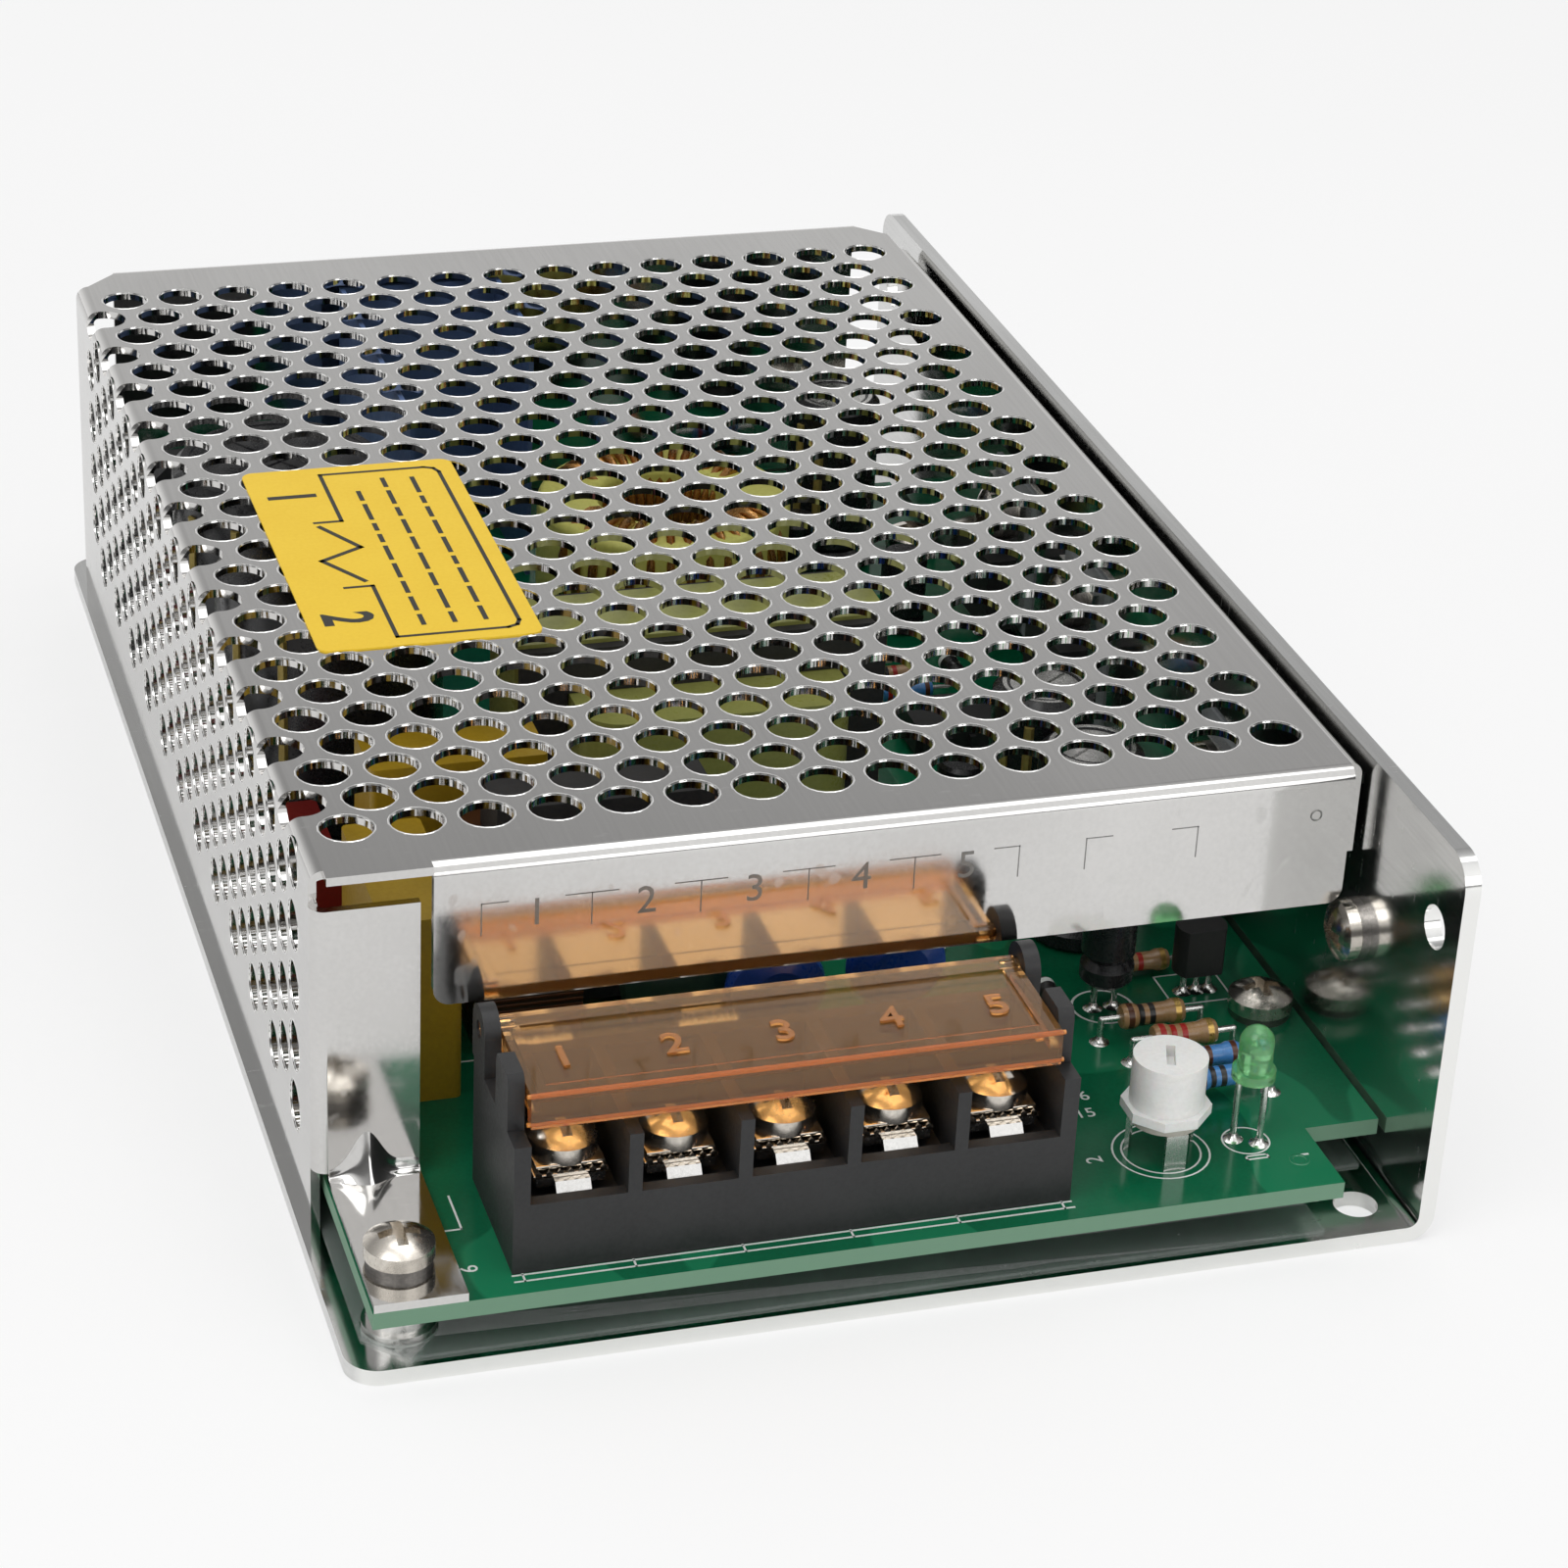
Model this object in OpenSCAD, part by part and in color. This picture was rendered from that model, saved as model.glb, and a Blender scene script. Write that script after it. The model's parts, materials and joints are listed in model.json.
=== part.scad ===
// Open frame switching power supply in a perforated sheet case, millimetres.
// The origin lies under the middle of the base. The terminal end faces -Y.

/* [Case] */
// Width of the chassis, left edge to wall
case_w = 97; // [90:1:120]
// Length of the chassis
case_l = 159; // [150:1:200]
// Height of the chassis wall
case_h = 38; // [34:1:50]
// Thickness of the chassis sheet
chassis_t = 1.5; // [1:0.1:2]
// Inner radius of the chassis bend
chassis_bend = 1; // [0.5:0.1:2]
// Rounding of the chassis corners
chassis_corner = 3; // [1:0.5:5]

/* [Cover] */
// Thickness of the cover sheet
cover_t = 0.8; // [0.6:0.1:1]
// Inner radius of the cover bends
cover_bend = 0.5; // [0.3:0.1:1]
// Step of the cover inside the chassis edge
cover_ledge = 0.8; // [0.3:0.1:2]
// Gap between the cover's right flange and the wall
cover_gap = 0.5; // [0.3:0.1:1]
// Depth of the open terminal shelf in front of the cover
shelf_l = 19.2; // [17:0.2:24]
// Gap between the cover's rear panel and the end of the wall
rear_step = 2.5; // [1:0.5:6]
// Height of the front lip
lip_h = 13.4; // [8:0.1:16]
// Drop of the cover's right flange
flange_h = 9; // [5:0.5:12]
// Width of the left front flange and its foot
foot_w = 9.2; // [8.4:0.1:12]
// Slit between the front flange and the top
slit_h = 2.4; // [1.5:0.1:4]

/* [Perforation] */
// Diameter of a hole
hole_d = 4.6; // [3:0.1:5]
// Hole spacing along a row
hole_pitch = 6; // [5.4:0.1:8]
// Spacing between rows
row_pitch = 5; // [4.6:0.1:7]
// First hole row behind the front lip
row_start = 8; // [6:0.5:12]
// Plain margin at the right bend
right_margin = 5.6; // [4:0.1:10]
// Plain margin at the rear bend
rear_margin = 8; // [6:0.5:14]
// Distance from the left face to the first full hole
left_start = 4.6; // [4.2:0.1:5]
// Plain margin at the foot of the left wall
wall_margin = 5; // [4:0.5:10]

/* [Board] */
// Gap under the circuit board
board_gap = 4; // [3:0.5:6]
// Thickness of the circuit board
board_t = 1.6; // [1:0.2:2.4]
// Thickness of the insulation film
film_t = 0.3; // [0.2:0.1:0.5]
// Clearance between the board and the sheet walls
board_clear = 0.4; // [0.3:0.1:1]
// Diameter of the standoffs
standoff_d = 5.6; // [5:0.1:7]
// Diameter of the screws' threads
screw_d = 3; // [2.5:0.5:3]
// Diameter of the screw heads
head_d = 6; // [5.5:0.1:7]

/* [Mounting] */
// Diameter of the mounting holes
mount_d = 4; // [3:0.5:4.5]
// Distance of the mounting holes from the chassis ends
mount_end = 4.5; // [4:0.5:6]
// Distance of the base holes from the wall's inner face
mount_side = 4; // [3.5:0.5:5]
// Height of the wall holes
mount_z = 29.5; // [20:0.5:31]

/* [Terminals] */
// Number of ways
ways = 5; // [2:1:5]
// Spacing of the ways
way_pitch = 9.5; // [8.8:0.1:9.5]
// Thickness of the walls between the ways
rib_t = 1.2; // [1:0.1:1.6]
// Depth of the block
block_l = 14.6; // [13:0.1:15.4]
// Height of the front wall above the board
sill_h = 6.7; // [5:0.1:8]
// Height of the ribs above the board
rib_h = 12.4; // [11:0.1:14]
// Diameter of the terminal screw heads
term_head_d = 5.8; // [5:0.1:6]
// Thickness of the flip cover
flip_t = 1.1; // [0.8:0.1:1.5]
// Depth of the flip cover's front rim
rim_h = 3.2; // [2:0.1:4]
// Diameter of the flip cover's hinge pins
pin_d = 1.5; // [1:0.1:2]
// Radial running clearance of the turning parts
run_clear = 0.06; // [0.02:0.01:0.1]

/* [Adjuster] */
// Diameter of the adjuster knob
knob_d = 6.6; // [5:0.1:7]
// Height of the adjuster knob
knob_h = 5.5; // [4:0.1:7]
// Travel of the input selector's slider
selector_travel = 3; // [2:0.5:4]

/* [Inside] */
// Diameter of the bulk capacitors
bulk_d = 22; // [16:1:22]
// Gap between the bulk capacitors and the cover
bulk_gap = 2.4; // [1:0.2:8]
// Width of the transformer
trafo_w = 36; // [28:1:38]
// Depth of the transformer
trafo_l = 27; // [20:1:30]
// Gap between the transformer and the cover
trafo_gap = 3.4; // [1:0.2:8]
// Outer diameter of the output choke's ring
ring_d = 27; // [20:1:30]
// Inner diameter of the output choke's ring
ring_bore = 14; // [10:1:15]

/* [Hidden] */
$fn = 48;
e = 0.01;
// chassis
x_left = -case_w / 2;
x_wall = case_w / 2 - chassis_t;
y_front = -case_l / 2;
y_rear = case_l / 2;
chassis_ro = chassis_bend + chassis_t;
mount_x = x_wall - mount_side;
mount_y = case_l / 2 - mount_end;
// cover
cov_x0 = x_left + cover_ledge;
cov_x1 = x_wall - cover_gap;
cov_y0 = y_front + shelf_l;
cov_y1 = y_rear - rear_step;
cov_z = case_h - 0.7;
cov_ro = cover_bend + cover_t;
corner_cut = 4.6;
top_chamfer = 3;
flange_cut = 9;
strip_w = 1;
flange_x1 = cov_x0 + foot_w;
lip_x0 = flange_x1 + 1.1;
lip_x1 = cov_x1 - 1.2;
foot_y0 = y_front + 0.3;
// circuit board
board_z0 = chassis_t + board_gap;
board_z = board_z0 + board_t;
board_x0 = cov_x0 + cover_t + board_clear;
board_x1 = x_wall - board_clear;
board_y0 = y_front + 0.3;
board_y1 = cov_y1 - cover_t - board_clear;
notch_x = mount_x - 3.5;
notch_l = mount_end + 4.6;
foot_screw_at = [cov_x0 + foot_w / 2, y_front + 6];
board_screws_at = [[x_wall - 3.9, y_front + 28.5], [x_wall - 3.9, board_y1 - 23.8],
    [board_x0 + 4, board_y1 - 9.8]];
standoffs_at = concat([foot_screw_at], board_screws_at);
foot_z = board_z;
foot_top = board_z + cover_t;
// holes
row_n = floor((cov_y1 - cov_y0 - row_start - rear_margin) / row_pitch);
col_n = floor((cov_x1 - cov_x0 - left_start - right_margin) / hole_pitch);
row_y0 = cov_y0 + row_start;
col_x0 = cov_x0 + left_start;
bend_take = 2 * cov_ro - PI / 2 * (cover_bend + 0.35 * cover_t);
wall_lev = left_start - bend_take;
wall_n = floor((cov_z - chassis_t - wall_margin - hole_d / 2 + wall_lev) / hole_pitch * 2);
// terminal block
block_w = ways * way_pitch + rib_t * 1.4;
block_x0 = board_x0 + 12.3;
block_x1 = block_x0 + block_w;
block_y0 = y_front + 3.1;
block_y1 = block_y0 + block_l;
rib_x0 = block_x0 + rib_t * 0.7;
end_t = rib_t * 0.7 + rib_t / 2;
screw_y = block_y0 + 5.9;
plate_z = board_z + sill_h + 0.4;
hinge_y = block_y1 - 1.6;
hinge_z = board_z + rib_h + 3.6;
flip_x0 = block_x0 + end_t + 0.15;
flip_x1 = block_x1 - end_t - 0.15;
flip_z = hinge_z + pin_d / 2 - 0.1;
flip_y0 = block_y0 + 0.9;
// adjuster and lamp
knob_x = max(board_x1 - 21.1, block_x1 + knob_d / 2 + 1);
knob_at = [knob_x, y_front + 8.5];
knob_z = board_z + 4.4;
led_at = [board_x1 - 13.1, y_front + 8.4];
// wall devices
device_z0 = board_z + 3.2;
device_z1 = cov_z - flange_h - 4.1;
device_z = device_z1 - 2.8;
devices_at = [-30, 8, 30];
device_t = 4.4;
pad_t = 0.3;
wall_screws_at = concat([y_front + 18.5], devices_at);
// selector switch
selector_at = [board_x0 + 0.6, -17];
selector_z = board_z + 6.5;
// label
label_w = 21;
label_l = 40;
label_t = 0.15;
// small parts
washer_h = 0.8;
tab_t = 1.3;
ear_r = 2.2;
term_screw_d = 3.5;
tongue_w = 3;
tongue_t = 0.8;
plate_t = 0.9;
trimmer_t = 0.8;
led_z = board_z + 6.7;
small_z = board_z + 3;
small_cap_at = [board_x1 - 17.5, y_front + 32.5];
to92_at = [board_x1 - 7.9, y_front + 33.5];
resistor_z = board_z + 2.4;
resistor_l = 6.2;
lead_span = 9.8;
carbon_at = [[board_x1 - 15.1, y_front + 26.8], [board_x1 - 13.5, y_front + 22.8]];
film_at = [[board_x1 - 12.7, y_front + 18.8], [board_x1 - 12.7, y_front + 15.4]];
leg_d = 0.6;
disc_z = board_z + 8;
disc_d = 9.5;
disc_leg = 2.5;
discs_at = [[board_x0 + 42.5, y_front + 29.5], [board_x0 + 54.5, y_front + 31.5]];
thermistor_d = 10.5;
thermistor_at = [board_x0 + 34.5, y_front + 33.5];
fuse_l = 15;
fuse_d = 5;
fuse_at = [board_x0 + 27.5, y_front + 25.5];
fuse_z = board_z + 5.4;
// box capacitors: x, y, width, depth, height
boxes = [[board_x0 + 7.1, y_front + 30.5, 7.2, 18, 18.5],
    [board_x0 + 10.5, y_front + 51.5, 16.5, 8, 22]];
filter_at = [board_x0 + 29.5, y_front + 43.5];
bulk_h = cov_z - cover_t - bulk_gap - board_z;
bulk_at = [[board_x0 + 13.3, 5], [board_x0 + 13.3, 30]];
output_caps_at = [[board_x1 - 15, -33], [board_x1 - 15, -20], [board_x1 - 13.6, board_y1 - 23.8]];
trafo_h = cov_z - cover_t - trafo_gap - board_z;
trafo_at = [board_x0 + 45.5, -9];
core_leg = 4.5;
core_l = trafo_l * 0.44;
window_w = 6.5;
bobbin_h = 4;
tape_t = 0.4;
ring_at = [board_x0 + 55.5, 36];
ring_z = board_z + 6;
ring_h = 11;
bridge_at = [board_x0 + 12.5, board_y1 - 21.8];
shield_x0 = board_x0 + 27.5;
shield_x1 = board_x0 + 45.5;
shield_y1 = board_y1 - 4.8;
shield_long = 37;
shield_short = 17;
shield_t = 0.5;
// control chips: x, y, length
chips = [[board_x1 - 14.6, 6, 9.6], [board_x1 - 16.6, -6, 4.8]];
selector_t = 1.8;

// Puts each child at each of the given points of the XY plane, at height z.
module at_points(points, z = 0) {
    for (p = points)
        translate([p[0], p[1], z])
            children();
}

// A box given by its two end corners.
module span(a, b) {
    translate(a)
        cube(b - a);
}

// A quarter of a ring in the first quadrant, for sheet bends.
module quarter(ri, t) {
    intersection() {
        difference() {
            circle(r = ri + t);
            circle(r = ri);
        }
        square(ri + t);
    }
}

// Turns a drawing of X and Z into a bar that runs along Y from y0 to y1.
module along_y(y0, y1) {
    translate([0, y1, 0])
        rotate([90, 0, 0])
            linear_extrude(y1 - y0)
                children();
}

// Turns a drawing of Y and Z into a bar that runs along X from x0 to x1.
module along_x(x0, x1) {
    translate([x0, 0, 0])
        rotate([90, 0, 90])
            linear_extrude(x1 - x0)
                children();
}

module chassis_section() {
    translate([x_left, 0])
        square([case_w - chassis_ro, chassis_t]);
    translate([x_wall, chassis_ro])
        square([chassis_t, case_h - chassis_ro]);
    translate([case_w / 2 - chassis_ro, chassis_ro])
        mirror([0, 1])
            quarter(chassis_bend, chassis_t);
}

// A tool that rounds an upright edge at the origin, material towards +X +Y.
module corner_tool(r, h) {
    difference() {
        translate([-1, -1, -1])
            cube([r + 1, r + 1, h + 2]);
        translate([r, r, -2])
            cylinder(r = r, h = h + 4);
    }
}

module chassis() color("gainsboro") {
    difference() {
        along_y(y_front, y_rear)
            chassis_section();
        // rounded corners of the base's free edge
        translate([x_left, y_front, 0])
            corner_tool(chassis_corner, chassis_t);
        translate([x_left, y_rear, 0])
            mirror([0, 1, 0])
                corner_tool(chassis_corner, chassis_t);
        // rounded top corners of the wall
        for (m = [0, 1])
            mirror([0, m, 0])
                translate([x_wall, y_front, case_h])
                    rotate([0, 90, 0])
                        corner_tool(chassis_corner, chassis_t);
        // mounting holes in the base and in the wall
        for (y = [-mount_y, mount_y]) {
            translate([mount_x, y, -1])
                cylinder(d = mount_d, h = chassis_t + 2);
            translate([x_wall - 1, y, mount_z])
                rotate([0, 90, 0])
                    cylinder(d = mount_d, h = chassis_t + 2);
        }
        // seats of the standoffs
        at_points(standoffs_at, -1)
            cylinder(d = standoff_d - 1.4, h = chassis_t + 2);
        // threads of the wall screws
        for (y = wall_screws_at)
            translate([x_wall - 1, y, device_z])
                rotate([0, 90, 0])
                    cylinder(d = screw_d, h = chassis_t + 2);
    }
}

// Outline of the board, shrunk by s, with the notches at the mounting holes.
module board_outline(s, x0, x1, y0, y1) {
    difference() {
        translate([x0, y0])
            square([x1 - x0, y1 - y0]);
        translate([notch_x - s, y0 - 1])
            square([case_w, y_front + notch_l - y0 + 1 + s]);
        translate([notch_x - s, y_rear - notch_l - s])
            square([case_w, case_l]);
    }
}

module insulation_film() color("lightsteelblue", 0.4) {
    film_x0 = cov_x0 + cover_t + 0.2;
    film_y0 = y_front + 1;
    translate([0, 0, chassis_t])
        linear_extrude(film_t)
            difference() {
                board_outline(1, film_x0, x_wall - chassis_bend - 0.2, film_y0, cov_y1 - cover_t - 0.2);
                // cut corner in front of the cover
                translate([film_x0, film_y0])
                    rotate(-45)
                        square([9, 5], center = true);
                for (p = standoffs_at)
                    translate(p)
                        circle(d = standoff_d + 1);
            }
}

module standoffs() color("silver") {
    at_points(standoffs_at)
        difference() {
            union() {
                cylinder(d = standoff_d - 1.4, h = chassis_t + e);
                translate([0, 0, chassis_t])
                    cylinder(d = standoff_d, h = board_gap);
                translate([0, 0, chassis_t])
                    cylinder(d = standoff_d + 0.8, h = 0.8);
            }
            translate([0, 0, -1])
                cylinder(d = screw_d, h = board_z);
        }
}

module circuit_board() color("seagreen") {
    translate([0, 0, board_z0])
        linear_extrude(board_t)
            difference() {
                board_outline(0, board_x0, board_x1, board_y0, board_y1);
                for (p = standoffs_at)
                    translate(p)
                        circle(d = screw_d + 0.4);
            }
}

// Sheet of the cover before it is pierced. Each bend carries a short flat strip on both
// sides, which lies in the plate that it joins.
module cover_sheet() {
    top_z = cov_z - cover_t;
    bend_x0 = cov_x0 + cov_ro;
    bend_x1 = cov_x1 - cov_ro;
    bend_y0 = cov_y0 + cov_ro;
    bend_y1 = cov_y1 - cov_ro;
    bend_z = cov_z - cov_ro;
    // left wall with its bend
    along_y(bend_y0, cov_y1 - corner_cut) {
        translate([cov_x0, chassis_t])
            square([cover_t, bend_z - chassis_t]);
        translate([bend_x0, bend_z])
            mirror([1, 0])
                quarter(cover_bend, cover_t);
        translate([bend_x0, top_z])
            square([strip_w, cover_t]);
    }
    // top
    translate([0, 0, top_z])
        linear_extrude(cover_t)
            polygon([[bend_x0, cov_y0], [lip_x0, cov_y0], [lip_x0, bend_y0],
                [bend_x1, bend_y0], [bend_x1, bend_y1 - top_chamfer],
                [bend_x1 - top_chamfer, bend_y1], [cov_x0 + corner_cut, bend_y1],
                [bend_x0, cov_y1 - corner_cut]]);
    // right flange with its bend
    along_y(bend_y0, cov_y1 - flange_cut) {
        translate([cov_x1 - cover_t, cov_z - flange_h])
            square([cover_t, flange_h - cov_ro]);
        translate([bend_x1, bend_z])
            quarter(cover_bend, cover_t);
        translate([bend_x1 - strip_w, top_z])
            square([strip_w, cover_t]);
    }
    // front lip with its bend
    along_x(lip_x0, lip_x1) {
        translate([bend_y0, bend_z])
            mirror([1, 0])
                quarter(cover_bend, cover_t);
        translate([bend_y0, top_z])
            square([strip_w, cover_t]);
        translate([cov_y0, bend_z - strip_w])
            square([cover_t, strip_w]);
    }
    translate([0, cov_y0 + cover_t, 0])
        rotate([90, 0, 0])
            linear_extrude(cover_t)
                difference() {
                    translate([lip_x0, cov_z - lip_h])
                        square([lip_x1 - lip_x0, lip_h - cov_ro]);
                    for (m = [0, 1])
                        translate([m ? lip_x1 : lip_x0, cov_z - lip_h])
                            mirror([m, 0])
                                difference() {
                                    translate([-1, -1])
                                        square(2.5);
                                    translate([1.5, 1.5])
                                        circle(r = 1.5);
                                }
                }
    // rear panel with its bend
    along_x(cov_x0 + corner_cut, bend_x1 - top_chamfer) {
        translate([cov_y1 - cover_t, chassis_t])
            square([cover_t, bend_z - chassis_t]);
        translate([bend_y1, bend_z])
            quarter(cover_bend, cover_t);
        translate([bend_y1 - strip_w, top_z])
            square([strip_w, cover_t]);
    }
    // upright bend from the left wall into the front flange
    translate([0, 0, foot_top + cover_bend])
        linear_extrude(top_z - slit_h - foot_top - cover_bend) {
            translate([bend_x0, bend_y0])
                mirror([1, 0])
                    mirror([0, 1])
                        quarter(cover_bend, cover_t);
            translate([cov_x0, bend_y0])
                square([cover_t, strip_w]);
            translate([bend_x0, cov_y0])
                square([strip_w, cover_t]);
        }
    // front flange, folded forward into the foot
    along_x(bend_x0, flange_x1) {
        translate([cov_y0, foot_top + cover_bend])
            square([cover_t, top_z - slit_h - foot_top - cover_bend]);
        translate([cov_y0 - cover_bend, foot_top + cover_bend])
            mirror([0, 1])
                quarter(cover_bend, cover_t);
        translate([foot_y0, foot_z])
            square([cov_y0 - cover_bend - foot_y0, cover_t]);
    }
}

// Holes of the top, and of the left wall as the flat sheet's pattern runs on down it.
module perforation() {
    for (j = [0 : row_n])
        for (i = [0 : col_n])
            if (i < col_n || j % 2 == 0)
                translate([col_x0 + hole_pitch * (i + (j % 2) / 2), row_y0 + row_pitch * j,
                    cov_z - cover_t - 1])
                    cylinder(d = hole_d, h = cover_t + 2);
    // holes that the left bend runs through
    for (j = [1 : 2 : row_n - 1]) {
        translate([col_x0 - hole_pitch / 2, row_y0 + row_pitch * j, cov_z - cov_ro])
            cylinder(d = hole_d, h = cov_ro + 1);
        wall_hole(j, 1, cov_ro);
    }
    for (j = [0 : row_n - 1])
        for (k = [2 : wall_n])
            if ((j + k) % 2 == 0)
                wall_hole(j, k, cover_t);
}

// One hole of the left wall, in row j, k half pitches from the first full hole.
module wall_hole(j, k, depth) {
    translate([cov_x0 - 1, row_y0 + row_pitch * j, cov_z - (k * hole_pitch / 2 - wall_lev)])
        rotate([0, 90, 0])
            cylinder(d = hole_d, h = depth + 1 + e);
}

module mesh_cover() color("silver") {
    difference() {
        cover_sheet();
        perforation();
        // screw hole of the foot
        translate([foot_screw_at[0], foot_screw_at[1], foot_z - 1])
            cylinder(d = screw_d + 0.4, h = cover_t + 2);
        // round relief at the end of the slit
        translate([cov_x0 + cov_ro, cov_y0 - 1, cov_z - cover_t - slit_h / 2])
            rotate([-90, 0, 0])
                cylinder(d = slit_h, h = cov_ro + 1.4);
    }
}

// A rounded rectangle, from the origin.
module soft_square(w, l, r) {
    difference() {
        square([w, l]);
        for (m = [0, 1], n = [0, 1])
            translate([m * w, n * l])
                mirror([m, 0])
                    mirror([0, n])
                        difference() {
                            translate([-1, -1])
                                square(r + 1);
                            translate([r, r])
                                circle(r = r);
                        }
    }
}

module cover_label() color("gold") {
    translate([cov_x0 + 8.6, -label_l / 2, cov_z])
        linear_extrude(label_t)
            soft_square(label_w, label_l, 1.2);
}

// Pan head with a cross recess, its seat at the origin, domed towards +Z.
module pan_head(d, h) {
    difference() {
        intersection() {
            cylinder(d = d, h = h);
            translate([0, 0, h - d * 0.8])
                sphere(d = d * 1.6);
        }
        for (a = [0, 90])
            rotate(a)
                translate([-d * 0.29, -d * 0.075, h * 0.45])
                    cube([d * 0.58, d * 0.15, h]);
    }
}

// Machine screw with its head's seat at the origin and its shank towards -Z.
module machine_screw(d, head, head_h, length) {
    pan_head(head, head_h);
    translate([0, 0, -length])
        cylinder(d = d, h = length + e);
}

module foot_screw() color("silver") {
    at_points([foot_screw_at], foot_top + washer_h)
        machine_screw(screw_d - 0.04, head_d, 2.3, foot_top + washer_h - chassis_t);
}

module board_screws() color("silver") {
    at_points(board_screws_at, board_z + washer_h)
        machine_screw(screw_d - 0.04, head_d, 2.3, board_z + washer_h - chassis_t);
}

module spring_washer() {
    difference() {
        cylinder(d = head_d - 0.3, h = washer_h);
        translate([0, 0, -1])
            cylinder(d = screw_d + 0.2, h = washer_h + 2);
        rotate(35)
            translate([0, -0.25, -1])
                cube([head_d, 0.5, washer_h + 2]);
    }
}

module spring_washers() color("dimgray") {
    at_points([foot_screw_at], foot_top)
        spring_washer();
    at_points(board_screws_at, board_z)
        spring_washer();
    for (i = [0 : len(wall_screws_at) - 1])
        translate([x_wall - wall_grip(i), wall_screws_at[i], device_z])
            rotate([0, -90, 0])
                spring_washer();
}

// What the wall screw of the given number clamps: nothing, or a device with its pad.
function wall_grip(i) = i == 0 ? 0 : pad_t + tab_t;

module wall_screws() color("silver") {
    for (i = [0 : len(wall_screws_at) - 1])
        translate([x_wall - wall_grip(i) - washer_h, wall_screws_at[i], device_z])
            rotate([0, -90, 0])
                machine_screw(screw_d - 0.04, head_d - 0.4, 2.1, wall_grip(i) + washer_h + chassis_t);
}

// Side view of an end plate of the terminal block, with its two ears.
module end_plate_section() {
    ear_x = block_y0 + 2.6;
    translate([block_y0, board_z])
        square([block_l, rib_h]);
    translate([ear_x, board_z + rib_h - e])
        square([4.2, hinge_z - board_z - rib_h + 0.4]);
    translate([ear_x + 2.1, hinge_z + 0.4])
        intersection() {
            circle(r = 2.1);
            translate([-2.1, -e])
                square([4.2, 1.3]);
        }
    translate([hinge_y - ear_r, board_z + rib_h - e])
        square([2 * ear_r, hinge_z - board_z - rib_h]);
    translate([hinge_y, hinge_z])
        circle(r = ear_r);
}

// Places each child at every way of the terminal block.
module each_way() {
    for (i = [0 : ways - 1])
        translate([rib_x0 + way_pitch * (i + 0.5), screw_y, 0])
            children();
}

module terminal_block() color("dimgray") {
    floor_z = board_z + sill_h - 1.5;
    difference() {
        union() {
            // body under the bays, with its front sill and rear wall
            span([block_x0, block_y0, board_z], [block_x1, block_y1, floor_z]);
            span([block_x0, block_y0, floor_z - e], [block_x1, block_y0 + 1.2, board_z + sill_h]);
            span([block_x0, block_y1 - 1.5, floor_z - e], [block_x1, block_y1, board_z + rib_h]);
            // ribs between the ways, and the end plates with their ears
            for (i = [1 : ways - 1])
                span([rib_x0 + way_pitch * i - rib_t / 2, block_y0, floor_z - e],
                    [rib_x0 + way_pitch * i + rib_t / 2, block_y1, board_z + rib_h]);
            along_x(block_x0, block_x0 + end_t)
                end_plate_section();
            along_x(block_x1 - end_t, block_x1)
                end_plate_section();
            // pedestals under the tongues
            each_way()
                translate([-tongue_w / 2 - 0.6, -1.6, floor_z - e])
                    cube([tongue_w + 1.2, block_y1 - screw_y + 1, plate_z - tongue_t - floor_z + e]);
        }
        // holes for the terminal screws and the flip cover's pins
        each_way()
            translate([0, 0, board_z + 1.4])
                cylinder(d = term_screw_d, h = case_h);
        translate([block_x0 - 1, hinge_y, hinge_z])
            rotate([0, 90, 0])
                cylinder(r = pin_d / 2 + run_clear, h = block_w + 2);
    }
}

module terminal_tongues() color("gainsboro") {
    top = plate_z;
    under = plate_z - tongue_t;
    pad_w = term_screw_d + 2.4;
    each_way()
        difference() {
            union() {
                // pad under the clamp plate, then a narrow strip whose front end is bent down
                translate([-pad_w / 2, -pad_w / 2, under])
                    cube([pad_w, pad_w, tongue_t]);
                along_x(-tongue_w / 2, tongue_w / 2)
                    polygon([[3.4, top], [-3.6, top], [-4.5, top - 1.2], [-3.9, top - 1.6],
                        [-3.3, under], [3.4, under]]);
            }
            translate([0, 0, under - 1])
                cylinder(d = term_screw_d, h = 4);
        }
}

module terminal_plates() color("silver") {
    each_way()
        difference() {
            translate([-way_pitch * 0.34, -3, plate_z])
                cube([way_pitch * 0.68, 6, plate_t]);
            translate([0, 0, plate_z - 1])
                cylinder(d = term_screw_d + 0.3, h = 4);
        }
}

module terminal_screws() color("silver") {
    each_way()
        translate([0, 0, plate_z + plate_t])
            machine_screw(term_screw_d - 0.04, term_head_d, 2.5, plate_z + plate_t - board_z - 1.8);
}

module terminal_cover() color("orange", 0.6) {
    border = 1.6;
    difference() {
        span([flip_x0, flip_y0, flip_z - flip_t], [flip_x1, hinge_y + 0.9, flip_z]);
        // shallow field inside a raised border
        span([flip_x0 + border, flip_y0 + border, flip_z - 0.25],
            [flip_x1 - border, hinge_y - 1.2, flip_z + 1]);
    }
    // deep front rim and low side rims
    span([flip_x0, flip_y0, flip_z - rim_h], [flip_x1, flip_y0 + 1.2, flip_z - flip_t + e]);
    for (x = [flip_x0, flip_x1 - 0.9])
        span([x, flip_y0, flip_z - flip_t - 0.9], [x + 0.9, hinge_y - 1.2, flip_z - flip_t + e]);
    // hinge pins
    for (m = [0, 1])
        translate([m ? flip_x1 - 1.5 : block_x0 + 0.2, hinge_y, hinge_z])
            rotate([0, 90, 0])
                cylinder(d = pin_d, h = flip_x0 - block_x0 + 1.3);
}

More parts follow.
